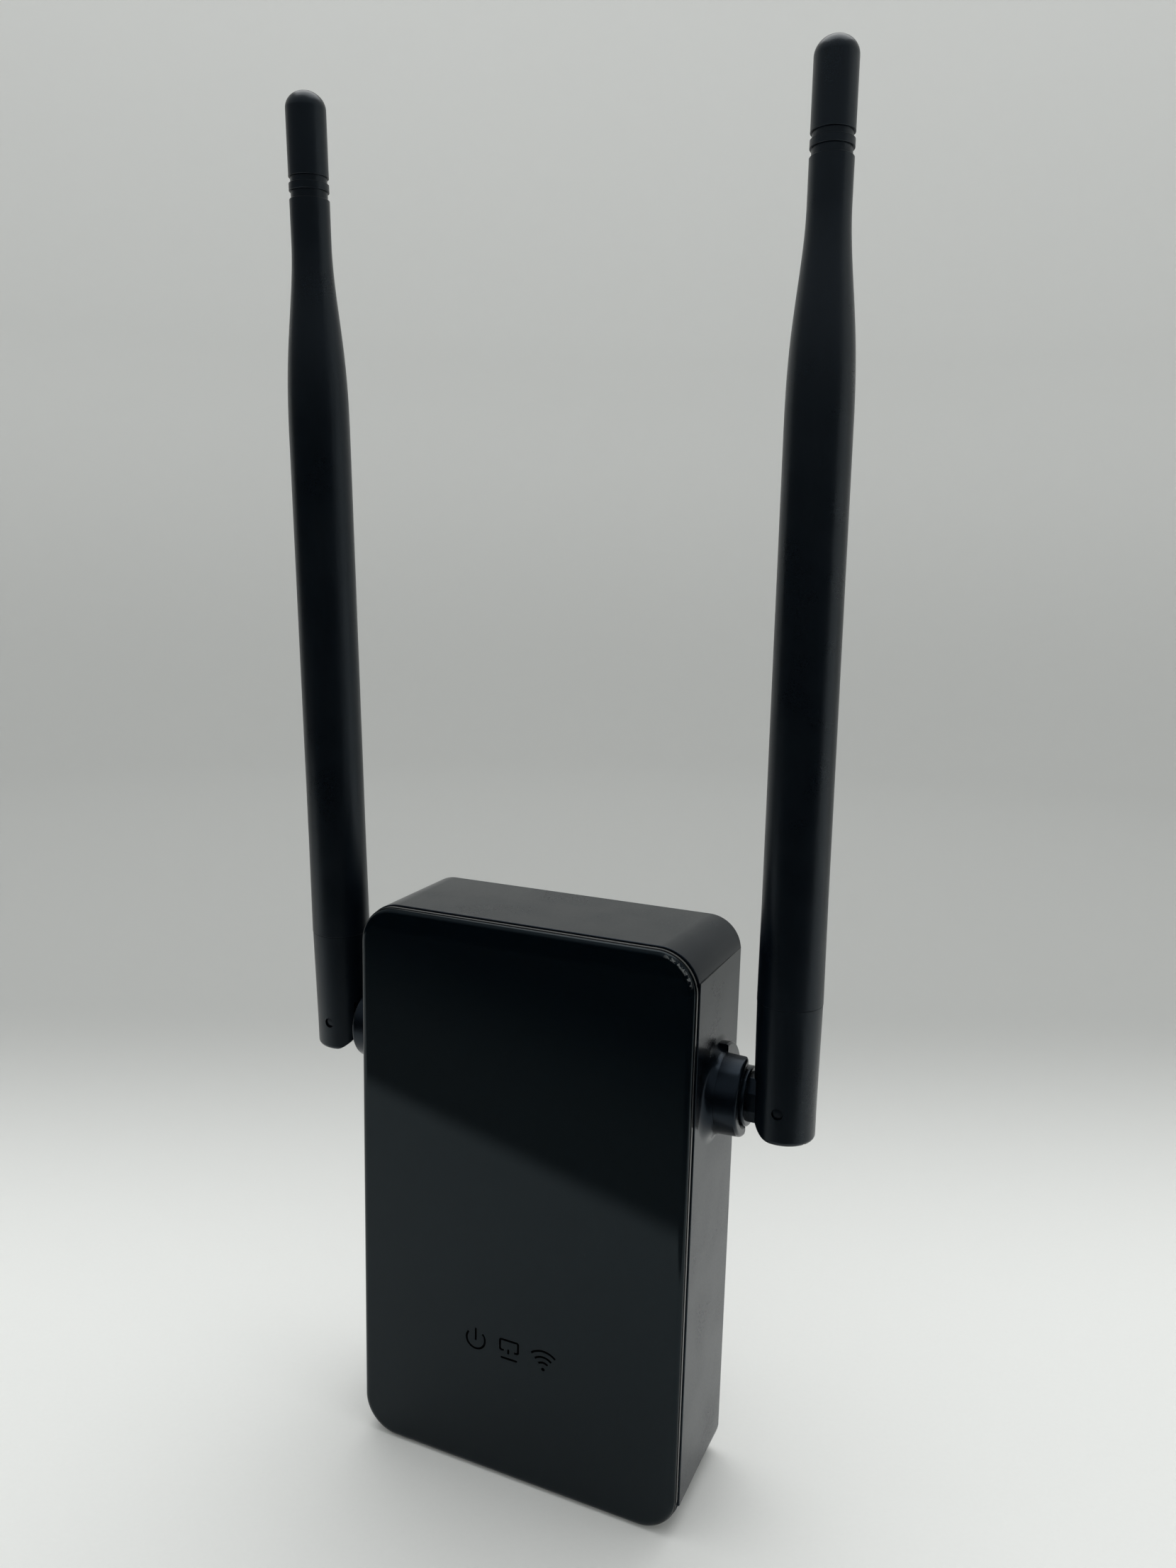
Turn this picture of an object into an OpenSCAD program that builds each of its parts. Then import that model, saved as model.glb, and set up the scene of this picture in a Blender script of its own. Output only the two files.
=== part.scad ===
// Plug-in wifi range extender with two hinged aerials.
// The origin is the middle of the bottom face: +X right, +Y back, +Z up.

/* [Housing] */
// Width across the side walls
body_w = 67; // [66:0.5:72]
// Height of the housing
body_h = 110; // [110:1:120]
// Depth from the front panel to the back face
body_d = 25.6; // [25.6:0.2:28]
// Radius of the outline's corners
corner_r = 7.5; // [6:0.5:9]
// Thickness of the side walls
wall = 2; // [1.8:0.1:2.2]
// Thickness of the back wall
back_wall = 2.2; // [2:0.1:2.4]

/* [Front] */
// Thickness of the glossy panel
panel_t = 0.9; // [0.8:0.1:1.2]
// Width of the rounded edge of the glossy panel
panel_edge_w = 1.2; // [0.6:0.1:1.4]
// Depth of the engraved icons
icon_depth = 0.2; // [0.1:0.05:0.4]
// Width of the icons' strokes
icon_line = 0.36; // [0.3:0.02:0.5]
// Height of the row of icons
icon_z = 27.6; // [26:0.1:30]
// Distance from one icon to the next
icon_pitch = 7.15; // [6.8:0.05:7.4]

/* [Aerials] */
// Height of the swivel axis
axis_z = 81.6; // [80:0.1:84]
// Distance from the middle to each hinge pin
pin_x = 46.2; // [45.8:0.1:48]
// Length from the hinge pin to the tip
aerial_len = 171.4; // [165:0.1:180]
// Radius of the lower shell at the pin
aerial_r = 5.4; // [5.3:0.05:5.5]
// Resting lean of the right aerial about +X
lean_right = -1.1; // [-5:0.1:5]
// Resting lean of the left aerial about +X
lean_left = 3.2; // [-5:0.1:5]
// Resting tilt of the right aerial, outward positive
tilt_right = -0.6; // [-0.6:0.1:5]
// Resting tilt of the left aerial, outward positive
tilt_left = -0.3; // [-0.6:0.1:5]

/* [Mains plug] */
// Height of the plug's middle
plug_z = 62; // [58:1:66]
// Distance between the middles of the blades
blade_pitch = 12.7; // [12.7:0.1:12.7]
// Length of the blades behind the back face
blade_len = 16.5; // [15:0.5:18]

/* [Hidden] */
$fn = 64;

// Colours
satin_black = "#2e3032";
gloss_black = "#101214";
aerial_black = "#26292c";
board_green = "#1d5a38";
metal = "#b9bcc0";
brass = "#c9a24a";
plastic_black = "#1c1c1e";

eps = 0.5;
slip = 0.06;
side_x = body_w / 2;
front_y = -body_d / 2;
back_y = body_d / 2;

// Front stack: panel, lip, dark groove, then the tub
panel_back = front_y + panel_t;
panel_inset = 0.35;
panel_rise = 0.7;
lip_t = 0.6;
lip_inset = 0.2;
groove_t = 0.5;
groove_inset = 0.9;
tub_front = panel_back + lip_t + groove_t;
tub_floor = back_y - back_wall;
crease = 5.6;
bezel_t = 1;
skirt_t = 1.2;
skirt_back = tub_front + 2.2;
peg_x = 24;
peg_z = [30, 80];
peg_r = 1;

// Case screws
column_x = side_x - 6;
column_z = [8, body_h - 8];
column_r = 2.6;
column_y = 4;
screw_r = 0.8;
screw_head_r = 1.9;
screw_seat = column_y + 2;

// Swivel bosses
boss_r = 7.55;
boss_end = side_x + 6;
flange_r = 8.7;
flange_end = side_x + 2.1;
flange_step = 4;
flare_r = 9.8;
flare_t = 2;
collar_r = 5.3;
collar_gap = 0.55;
collar_end = boss_end + 0.7;
washer_t = 0.4;
shaft_r = 4.5;
shaft_end = side_x - wall - 2.1;
coax_bore = 1.6;
coax_r = 0.65;
clip_t = 0.8;
clip_x = side_x - wall - clip_t - 0.05;
clip_groove_r = 3.8;

// Neck and hinge
neck_h = 8.2;
neck_w = 5.8;
neck_edge = 1.63;
pin_r = 1;
pin_inner = 1.9;
cheek_gap = 0.1;
dimple = 0.35;
foot_low = -5.8;
foot_edge = 0.9;
slot_r = neck_h / 2 + 0.25;
base_top = 18.4;
seam_r = 5.6;
spigot_r = 4.3;
spigot_h = 6;

// Sleeve outline, measured from the pin
sleeve_top = 153.9;
sleeve_wall = 1.1;
shoulder_z = 112;
neck_z = 147;
shoulder_r = 5.5;
tip_r = 3.5;
dome_h = 3;
taper_steps = 12;
// Radius along the taper, which starts gently and ends in a tighter curve
function taper_r(t) = shoulder_r + (tip_r - shoulder_r) * (1 - cos(180 * pow(t, 1.4))) / 2;
sleeve_outer = concat(
    [[5.65, base_top], [5.55, 36.4]],
    [for (i = [0:taper_steps]) let (t = i / taper_steps)
        [taper_r(t), shoulder_z + (neck_z - shoulder_z) * t]],
    [[tip_r, sleeve_top]]);
ring_z = [sleeve_top + 1.3, sleeve_top + 2.6];
cap_z = sleeve_top + 3.6;
groove_r = tip_r - 0.3;

// Main board
board_w = 49;
board_z = [4, 98];
board_front = -5.9;
board_back = board_front + 1.2;
board_posts = [[-20, 93], [20, 93], [18, 10]];
board_post_r = 2.4;
led_t = 0.8;
icon_x = [-icon_pitch - 0.55, -0.55, icon_pitch - 0.55];
guide_back = -8.5;
guide_t = 1;
guide_post = 4.6;
guide_h = 5;
baffle_h = 5.4;

// Ethernet jack
jack_x = -16.5;
jack_w = 16;
jack_h = 13.4;
jack_len = 21;
jack_mid_y = board_back + jack_h / 2;

// Buttons in the left wall
button_z = 46;
reset_z = 34;
reset_r = 0.8;
button_y = -2.7;
button_r = 3;
board_edge = -board_w / 2;

// Power board
pboard_w = 44;
pboard_z = [44, 98];
pboard_front = 7.6;
pboard_back = pboard_front + 1.6;
pboard_posts = [[-18, 48], [18, 94]];
blade_t = 1.52;
blade_w = 6.35;
plug_w = 26;
plug_h = 12;

// ---- Shared shapes ----

// Rounded rectangle with true arcs at its corners
module round_rect(w, h, r) {
    square([w - 2 * r, h], center = true);
    square([w, h - 2 * r], center = true);
    for (x = [-1, 1], y = [-1, 1])
        translate([x * (w / 2 - r), y * (h / 2 - r)]) circle(r);
}

// A flat outline made solid from y0 back to y1, about the point (x, z)
module slab(y0, y1, x = 0, z = body_h / 2) {
    translate([x, y1, z]) rotate([90, 0, 0]) linear_extrude(y1 - y0) children();
}

// The housing's outline, drawn in by an inset
module body_outline(inset = 0) {
    round_rect(body_w - 2 * inset, body_h - 2 * inset, corner_r - inset);
}

// A round bar along Y
module bar_y(x, z, y0, y1, r) {
    translate([x, y0, z]) rotate([-90, 0, 0]) cylinder(h = y1 - y0, r = r);
}

// A round bar along X
module bar_x(x0, x1, r, y = 0, z = 0) {
    translate([x0, y, z]) rotate([0, 90, 0]) cylinder(h = x1 - x0, r = r);
}

// A box from its low corner to its high corner
module block(low, high) {
    translate(low) cube(high - low);
}

// A pan-head screw driven towards -Y, with its head's seat at seat_y
module screw(x, z, seat_y, length, head_r, head_t) {
    difference() {
        union() {
            bar_y(x, z, seat_y, seat_y + head_t, head_r);
            bar_y(x, z, seat_y - length, seat_y, screw_r - 0.02);
        }
        for (turn = [0, 90])
            translate([x, seat_y + head_t, z]) rotate([0, turn, 0])
                cube([head_r * 1.2, head_t, 0.5], center = true);
    }
}

// What turns about the swivel axis of one side, at its resting lean
module turned(side) {
    translate([0, 0, axis_z]) rotate([side > 0 ? lean_right : lean_left, 0, 0])
        mirror([side > 0 ? 0 : 1, 0, 0]) children();
}

// What tilts about the hinge pin of one side, at its resting tilt
module tilted(side) {
    turned(side) translate([pin_x, 0, 0])
        rotate([0, side > 0 ? tilt_right : tilt_left, 0]) children();
}

// A thin cable swept along its route
function unit(v) = v / norm(v);
function heading(route, i) = unit(route[min(i + 1, len(route) - 1)] - route[max(i - 1, 0)]);
module cable(route, r, sides = 8) {
    rings = [for (i = [0:len(route) - 1])
        let (d = heading(route, i), a = unit(cross(d, abs(d.y) > 0.9 ? [1, 0, 0] : [0, 1, 0])))
        for (k = [0:sides - 1]) let (turn = k * 360 / sides)
            route[i] + r * (cos(turn) * a + sin(turn) * cross(d, a))];
    last = (len(route) - 1) * sides;
    faces = concat(
        [[for (k = [0:sides - 1]) k]],
        [[for (k = [sides - 1:-1:0]) last + k]],
        [for (i = [0:len(route) - 2], k = [0:sides - 1])
            let (n = (k + 1) % sides, low = i * sides, high = low + sides)
                [low + k, high + k, high + n, low + n]]);
    polyhedron(rings, faces);
}

// ---- Housing ----

// An outline in Y and Z made solid along X on one side of the housing
module side_extrude(side, x0, x1) {
    translate([0, 0, axis_z]) mirror([side > 0 ? 0 : 1, 0, 0]) translate([x0, 0, 0])
        rotate([90, 0, 90]) linear_extrude(x1 - x0) children();
}

// The stepped boss: a flared root, a flange behind and the boss's front half
module boss(side) {
    side_extrude(side, side_x - wall, side_x) circle(flare_r);
    translate([side * side_x, 0, axis_z]) rotate([0, side * 90, 0])
        cylinder(h = flare_t, r1 = flare_r, r2 = boss_r);
    side_extrude(side, side_x - wall, flange_end) intersection() {
        circle(flange_r);
        polygon([[0, 0], [0, flange_r], [flange_r, flange_r], [flange_r, -flange_r],
            [flange_step, -flange_r]]);
    }
    side_extrude(side, side_x - wall, boss_end) intersection() {
        circle(boss_r);
        translate([-boss_r - 1, -boss_r - 1]) square([boss_r + 1, 2 * boss_r + 2]);
    }
}

module boss_bore(side) {
    side_extrude(side, flange_end, boss_end + eps) circle(collar_r + collar_gap);
    side_extrude(side, side_x - wall - eps, flange_end + eps) circle(shaft_r + slip);
}

// Slots that let warm air out of the back
module back_vents() {
    for (i = [0:5], x = [-1, 1])
        slab(tub_floor - eps, back_y + eps, x * 16, 84 + i * 3.2) round_rect(16, 1.4, 0.65);
    for (i = [0:5], x = [-1, 1])
        slab(tub_floor - eps, back_y + eps, x * 16, 24 + i * 3.2) round_rect(16, 1.4, 0.65);
}

module rear_housing() {
    color(satin_black) difference() {
        union() {
            difference() {
                slab(tub_front, back_y) {
                    body_outline();
                    square([body_w, body_h - 2 * crease], center = true);
                }
                slab(tub_front - eps, tub_floor) body_outline(wall);
            }
            for (x = [-1, 1], z = column_z) bar_y(x * column_x, z, column_y, tub_floor + eps, column_r);
            for (p = pboard_posts) bar_y(p.x, p.y, pboard_back, tub_floor + eps, board_post_r);
            for (side = [-1, 1]) boss(side);
        }
        for (x = [-1, 1], z = column_z) {
            bar_y(x * column_x, z, column_y - eps, back_y + eps, screw_r + 0.2);
            bar_y(x * column_x, z, screw_seat, back_y + eps, screw_head_r + 0.15);
        }
        for (p = pboard_posts) bar_y(p.x, p.y, pboard_back - eps, tub_floor + 1, screw_r);
        for (side = [-1, 1]) boss_bore(side);
        back_vents();
        slab(tub_floor - eps, back_y + eps, 0, plug_z) square([plug_w, plug_h], center = true);
        jack_box(jack_w, -jack_h / 2, jack_h / 2, -eps, wall + eps);
        bar_x(-side_x - eps, -side_x + wall + eps, button_r + slip, button_y, button_z);
        bar_x(-side_x - eps, -side_x + wall + eps, reset_r + 0.1, button_y, reset_z);
    }
}

// Ring that carries the panel and plugs into the tub
module front_bezel() {
    color(gloss_black) difference() {
        union() {
            slab(panel_back, panel_back + lip_t) body_outline(lip_inset);
            slab(panel_back, tub_front + bezel_t) body_outline(wall + slip);
            slab(panel_back + lip_t, tub_front) body_outline(groove_inset);
            difference() {
                slab(tub_front, skirt_back) body_outline(wall + slip);
                slab(tub_front, skirt_back + eps) body_outline(wall + slip + skirt_t);
            }
            for (x = [-1, 1], z = column_z) bar_y(x * column_x, z, tub_front, column_y, column_r);
            for (p = board_posts) bar_y(p.x, p.y, tub_front, board_front, board_post_r);
        }
        for (x = [-1, 1], z = column_z) bar_y(x * column_x, z, column_y - 7.5, column_y + eps, screw_r);
        for (p = board_posts) bar_y(p.x, p.y, board_front - 3.2, board_front + eps, screw_r);
        for (x = icon_x) slab(panel_back - eps, tub_front + bezel_t + eps, x, icon_z)
            square([guide_post + 0.2, guide_post + 0.2], center = true);
        for (x = [-1, 1], z = peg_z)
            bar_y(x * peg_x, z, panel_back - eps, tub_front + bezel_t + eps, peg_r + 0.1);
        slab(tub_front + bezel_t, skirt_back + eps, jack_x, 3) square([jack_w + 2, 6], center = true);
    }
}

// A wedge that opens from one angle to another, wide enough to cut across an icon
module wedge(start, end) {
    reach = 8;
    polygon([[0, 0], for (a = [start, (start + end) / 2, end]) reach * [cos(a), sin(a)]]);
}

// Power sign: a broken ring and a bar
module power_icon() {
    ring_r = 2.15;
    difference() {
        circle(ring_r);
        circle(ring_r - icon_line);
        wedge(43, 142);
    }
    translate([-icon_line / 2, -0.3]) square([icon_line, 2.6]);
}

// Wired link: a screen that is open below, its stem and its foot
module link_icon() {
    screen_w = 4.25;
    screen_h = 2.6;
    screen_z = 0.6;
    gap = 2.2;
    foot = 3.5;
    difference() {
        translate([0, screen_z]) round_rect(screen_w, screen_h, 0.5);
        translate([0, screen_z]) round_rect(screen_w - 2 * icon_line, screen_h - 2 * icon_line, 0.25);
        translate([-gap / 2, screen_z - screen_h / 2 - 0.1]) square([gap, icon_line + 0.2]);
    }
    translate([-0.14 - icon_line / 2, -1.1]) square([icon_line, 1]);
    translate([-foot / 2, -2.25]) square([foot, icon_line]);
}

// Wifi sign: three arcs over a dot
module signal_icon() {
    translate([0, -1.9]) {
        circle(0.36);
        intersection() {
            for (r = [1.4, 2.5, 3.7]) difference() {
                circle(r + icon_line / 2);
                circle(r - icon_line / 2);
            }
            wedge(48, 132);
        }
    }
}

module front_panel() {
    color(gloss_black) {
        difference() {
            union() {
                slab(front_y + panel_rise, panel_back) body_outline(panel_inset);
                panel_edge();
            }
            slab(front_y - eps, front_y + icon_depth, icon_x[0], icon_z) power_icon();
            slab(front_y - eps, front_y + icon_depth, icon_x[1], icon_z) link_icon();
            slab(front_y - eps, front_y + icon_depth, icon_x[2], icon_z) signal_icon();
        }
        for (x = [-1, 1], z = peg_z) bar_y(x * peg_x, z, panel_back - 0.1, tub_front + bezel_t, peg_r);
    }
}

// Rounded front edge of the panel, in flat bands that follow a quarter ellipse
module panel_edge() {
    bands = 3;
    skin = 0.02;
    for (i = [0:bands - 1]) hull() for (k = [i, i + 1]) {
        a = 90 * k / bands;
        y = front_y + panel_rise * (1 - sin(a));
        slab(y, y + skin, 0, body_h / 2, $fn = 40) body_outline(panel_inset + panel_edge_w * (1 - cos(a)));
    }
}

module housing_screws() {
    color(metal) for (x = [-1, 1], z = column_z) screw(x * column_x, z, screw_seat, 8, screw_head_r, 1.4);
}

// ---- Status lights ----

module light_guide() {
    color("#dfe8ee") {
        slab(guide_back - guide_t, guide_back, icon_x[1], icon_z)
            square([2 * icon_pitch + guide_h, guide_h], center = true);
        for (x = icon_x) slab(panel_back, guide_back, x, icon_z)
            square([guide_post, guide_post], center = true);
    }
}

module light_baffle() {
    color(plastic_black) difference() {
        slab(guide_back, board_front, icon_x[1], icon_z)
            square([2 * icon_pitch + baffle_h, baffle_h], center = true);
        for (x = icon_x) slab(guide_back - eps, board_front + eps, x, icon_z)
            square([4.4, 3.6], center = true);
    }
}

module led(i) {
    color("#f4f1da") slab(board_front - led_t, board_front, icon_x[i], icon_z)
        square([1.6, 0.8], center = true);
}
module power_led() { led(0); }
module link_led() { led(1); }
module signal_led() { led(2); }

// ---- Main board ----

module main_board() {
    color(board_green) difference() {
        block([-board_w / 2, board_front, board_z[0]], [board_w / 2, board_back, board_z[1]]);
        for (p = board_posts) bar_y(p.x, p.y, board_front - eps, board_back + eps, screw_r + 0.3);
    }
}

module board_screws() {
    color(metal) for (p = board_posts) screw(p.x, p.y, board_back, 4, screw_head_r, 1.2);
}

// A part soldered flat on the back of the main board
module on_board(x, z, w, h, t) {
    block([x - w / 2, board_back, z - h / 2], [x + w / 2, board_back + t, z + h / 2]);
}

chip_x = 6;
chip_z = 34;
chip_t = 1.2;
pad_thick = 0.5;
shield_z = 69;
module wifi_chip() {
    color(plastic_black) on_board(chip_x, chip_z, 12, 12, chip_t);
}

module thermal_pad() {
    color("#9aa7b4") translate([0, chip_t, 0]) on_board(chip_x, chip_z, 11, 11, pad_thick);
}

module heat_sink() {
    color(metal) translate([0, chip_t + pad_thick, 0]) {
        on_board(chip_x, chip_z, 16, 16, 1);
        for (i = [0:4]) translate([0, 0.9, 0]) on_board(chip_x - 7.2 + i * 3.6, chip_z, 1.2, 16, 3.6);
    }
}

// Pressed lid over the radio circuits, open towards the board
module rf_shield() {
    shield = 30;
    skin = 0.3;
    height = 2.2;
    color(metal) difference() {
        on_board(0, shield_z, shield, shield, height);
        translate([0, -eps, 0])
            on_board(0, shield_z, shield - 2 * skin, shield - 2 * skin, height - skin + eps);
        for (x = [-1, 0, 1], z = [-1, 0, 1])
            bar_y(x * 8, shield_z + z * 8, board_back + 1, board_back + height + eps, 0.8);
    }
}

module flash_chip() {
    color(plastic_black) on_board(-8, 34, 5.2, 5.2, 1.6);
}

module crystal() {
    color(metal) on_board(18, 34, 3.2, 2.5, 0.8);
}

module ethernet_transformer() {
    color(plastic_black) on_board(3, 14, 15, 9, 3.6);
}

// ---- Ethernet jack ----

// A box inside the jack, given by its width and its reach along Y and Z
module jack_box(w, y0, y1, z0, z1) {
    block([jack_x - w / 2, jack_mid_y + y0, z0], [jack_x + w / 2, jack_mid_y + y1, z1]);
}

module jack_shell() {
    color(metal) difference() {
        jack_box(jack_w, -jack_h / 2, jack_h / 2, 0, jack_len);
        jack_box(jack_w - 0.6, -jack_h / 2 + 0.3, jack_h / 2 - 0.3, -eps, jack_len - 0.3);
    }
}

jack_mouth = 11.8;
module jack_insert() {
    color(plastic_black) difference() {
        jack_box(jack_w - 0.6, -jack_h / 2 + 0.3, jack_h / 2 - 0.3, 0.4, jack_len - 0.3);
        jack_box(jack_mouth, -4.6, 3, 0, 14);
        jack_box(6.4, 2.5, 4.6, 0, 14);
        jack_box(3.8, 4.1, 5.6, 0, 14);
    }
}

module jack_contacts() {
    color(brass) for (i = [-3.5:3.5]) {
        x = jack_x + i * 1.016;
        cable([[x, jack_mid_y - 4.4, 14], [x, jack_mid_y - 4.4, 4], [x, jack_mid_y - 3.2, 2.4]], 0.2, 6);
    }
}

// Pins that carry power from the power board to the main board
module board_header() {
    color(brass) for (i = [0:3])
        block([12 + i * 2.5, board_back, 50], [12.64 + i * 2.5, pboard_front, 50.64]);
    color(plastic_black) block([11, board_back, 49], [21.2, board_back + 2.5, 51.6]);
}

// ---- Buttons ----

// Body of a side-pushed switch on the left edge of the main board
module switch_body(z, depth, height, width, r) {
    difference() {
        block([board_edge, board_back, z - width / 2],
            [board_edge + depth, board_back + height, z + width / 2]);
        bar_x(board_edge - eps, board_edge + 1.5, r + slip, button_y, z);
    }
}

module reset_switch() {
    color(metal) switch_body(reset_z, 3, 3.4, 5, reset_r);
}

module reset_plunger() {
    color(plastic_black) bar_x(board_edge - 0.8, board_edge + 1.2, reset_r, button_y, reset_z);
}

module wps_switch() {
    color(metal) switch_body(button_z, 4, 4, 6, 1);
}

module wps_plunger() {
    color(plastic_black) bar_x(board_edge - 1.5, board_edge + 1.2, 1, button_y, button_z);
}

module wps_button() {
    color(satin_black) {
        bar_x(-side_x - 0.6, -side_x + wall + 0.05, button_r, button_y, button_z);
        bar_x(-side_x + wall + 0.02, -side_x + wall + 0.82, button_r + 0.8, button_y, button_z);
        bar_x(-side_x + wall + 0.8, board_edge - 1.5, 1.4, button_y, button_z);
    }
}

// ---- Power supply ----

module power_board() {
    color("#2a6b46") difference() {
        block([-pboard_w / 2, pboard_front, pboard_z[0]], [pboard_w / 2, pboard_back, pboard_z[1]]);
        for (p = pboard_posts) bar_y(p.x, p.y, pboard_front - eps, pboard_back + eps, screw_r + 0.3);
        for (x = [-1, 1]) slab(pboard_front - eps, pboard_back + eps, x * blade_pitch / 2, plug_z)
            square([blade_t, blade_w], center = true);
    }
}

module power_board_screws() {
    color(metal) for (p = pboard_posts)
        translate([0, 2 * pboard_front, 0]) mirror([0, 1, 0])
            screw(p.x, p.y, pboard_front, 3.6, screw_head_r, 1.2);
}

// Ferrite core with its bobbin, against the power board
module power_transformer() {
    color("#caa93c") block([-14, pboard_front - 9.4, 80], [-1, pboard_front, 91]);
    color(plastic_black) {
        block([-15.6, pboard_front - 8, 78.6], [0.6, pboard_front - 1, 80]);
        block([-15.6, pboard_front - 8, 91], [0.6, pboard_front - 1, 92.4]);
    }
}

module input_capacitor() {
    color("#2a2f52") translate([13, pboard_front - 4, 68]) cylinder(h = 14, r = 4);
}

module output_capacitor() {
    color("#23402e") translate([-15, pboard_front - 3.2, 66]) cylinder(h = 10, r = 3.2);
}

module bridge_rectifier() {
    color(plastic_black) block([1, pboard_front - 2.6, 70], [7, pboard_front, 77]);
}

module mains_fuse() {
    color("#7a4a2a") translate([0, pboard_front - 2, 52]) rotate([0, 90, 0])
        cylinder(h = 7, r = 2, center = true);
}

// Insulating block that holds the blades in the back wall
module plug_block() {
    color(plastic_black) difference() {
        union() {
            slab(tub_floor, back_y, 0, plug_z) square([plug_w, plug_h], center = true);
            slab(pboard_back, tub_floor, 0, plug_z) square([plug_w + 3, plug_h + 3], center = true);
        }
        for (x = [-1, 1]) slab(pboard_back - eps, back_y + eps, x * blade_pitch / 2, plug_z)
            square([blade_t, blade_w], center = true);
    }
}

module plug_blades() {
    color(metal) for (x = [-1, 1]) difference() {
        slab(pboard_front - 0.8, back_y + blade_len, x * blade_pitch / 2, plug_z)
            square([blade_t, blade_w], center = true);
        translate([x * blade_pitch / 2 - blade_t, back_y + 12, plug_z]) rotate([0, 90, 0])
            cylinder(h = 2 * blade_t, r = 1.6);
    }
}

// ---- Swivels ----

// Section of the neck across X: a tall block with its four long edges cut off
module neck_section() {
    y = neck_w / 2;
    z = neck_h / 2;
    cut = 1.2;
    polygon([[-y, -neck_edge], [-y, neck_edge], [-y + cut, z], [y - cut, z],
        [y, neck_edge], [y, -neck_edge], [y - cut, -z], [-y + cut, -z]]);
}

// Collar, hollow shaft and the tongue that the aerial hinges on. A slot in the tongue
// leaves room for the cable from upright to fully tilted.
module swivel(side) {
    color(satin_black) turned(side) difference() {
        union() {
            bar_x(flange_end + washer_t, collar_end, collar_r);
            bar_x(shaft_end, flange_end + washer_t + eps, shaft_r);
            intersection() {
                translate([collar_end - eps, 0, 0]) rotate([90, 0, 90])
                    linear_extrude(pin_x - collar_end + eps + neck_h / 2) neck_section();
                union() {
                    bar_y(pin_x, 0, -neck_w, neck_w, neck_h / 2);
                    block([collar_end - eps, -neck_w, -neck_h], [pin_x, neck_w, neck_h]);
                }
            }
        }
        bar_x(shaft_end - eps, pin_x, coax_bore);
        block([pin_x - coax_bore, -coax_bore, -coax_bore], [pin_x + neck_h, coax_bore, neck_h]);
        bar_y(pin_x, 0, -neck_w, neck_w, pin_r + slip);
        difference() {
            bar_x(clip_x, clip_x + clip_t, shaft_r + eps);
            bar_x(clip_x - eps, clip_x + clip_t + eps, clip_groove_r);
        }
    }
}
module right_swivel() { swivel(1); }
module left_swivel() { swivel(-1); }

module friction_washer(side) {
    color("#7c8084") turned(side) difference() {
        bar_x(flange_end, flange_end + washer_t, collar_r - 0.1);
        bar_x(flange_end - eps, flange_end + washer_t + eps, shaft_r + slip);
    }
}
module right_friction_washer() { friction_washer(1); }
module left_friction_washer() { friction_washer(-1); }

// Open spring clip that holds the shaft in the wall
module retaining_clip(side) {
    color(metal) turned(side) difference() {
        bar_x(clip_x, clip_x + clip_t, shaft_r + 1.6);
        bar_x(clip_x - eps, clip_x + clip_t + eps, clip_groove_r);
        block([clip_x - eps, -2.6, -shaft_r - 3], [clip_x + clip_t + eps, 2.6, 0]);
    }
}
module right_retaining_clip() { retaining_clip(1); }
module left_retaining_clip() { retaining_clip(-1); }

module swivel_coax(side) {
    color(plastic_black) turned(side) bar_x(shaft_end + 0.3, pin_x - 1, coax_r);
}
module right_swivel_coax() { swivel_coax(1); }
module left_swivel_coax() { swivel_coax(-1); }

// ---- Aerials ----

// Lower end seen from the front: round on the inner side, squarer on the outer side
module base_foot() {
    scale([1, -foot_low / aerial_r]) circle(aerial_r);
    translate([0, foot_low]) square([aerial_r, 2 * aerial_r]);
}

// A bar whose bottom edge is rounded, from the foot up to the pin
module foot_bar() {
    translate([0, 0, foot_low]) rotate_extrude() {
        square([aerial_r - foot_edge, 0.01 - foot_low]);
        translate([0, foot_edge]) square([aerial_r, 0.01 - foot_low - foot_edge]);
        translate([aerial_r - foot_edge, foot_edge]) circle(foot_edge);
    }
}

// Slot for the tongue, open to the inner side and to the bottom
module base_slot() {
    circle(slot_r);
    translate([-2 * aerial_r, -slot_r]) square([2 * aerial_r, 2 * slot_r]);
    translate([-slot_r, -2 * aerial_r]) square([2 * slot_r, 2 * aerial_r]);
    translate([-2 * aerial_r, -2 * aerial_r]) square([2 * aerial_r, 2 * aerial_r]);
}

module aerial_base(side) {
    color(aerial_black) tilted(side) difference() {
        union() {
            cylinder(h = base_top, r1 = aerial_r, r2 = seam_r);
            translate([0, 0, base_top - eps]) cylinder(h = spigot_h + eps, r = spigot_r);
            intersection() {
                foot_bar();
                slab(-aerial_r - 1, aerial_r + 1, 0, 0) base_foot();
            }
        }
        slab(-neck_w / 2 - cheek_gap, neck_w / 2 + cheek_gap, 0, 0) base_slot();
        bar_y(0, 0, -2 * aerial_r, 2 * aerial_r, pin_r);
        translate([0, 0, slot_r - 1]) cylinder(h = base_top + spigot_h, r = 2.4);
        translate([0, 0, base_top + 1]) cylinder(h = base_top, r = spigot_r - 0.9);
    }
}
module right_aerial_base() { aerial_base(1); }
module left_aerial_base() { aerial_base(-1); }

module hinge_pins(side) {
    color(metal) tilted(side) for (y = [-1, 1]) mirror([0, y < 0 ? 1 : 0, 0])
        bar_y(0, 0, pin_inner, aerial_r - dimple, pin_r - 0.02);
}
module right_hinge_pins() { hinge_pins(1); }
module left_hinge_pins() { hinge_pins(-1); }

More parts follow.
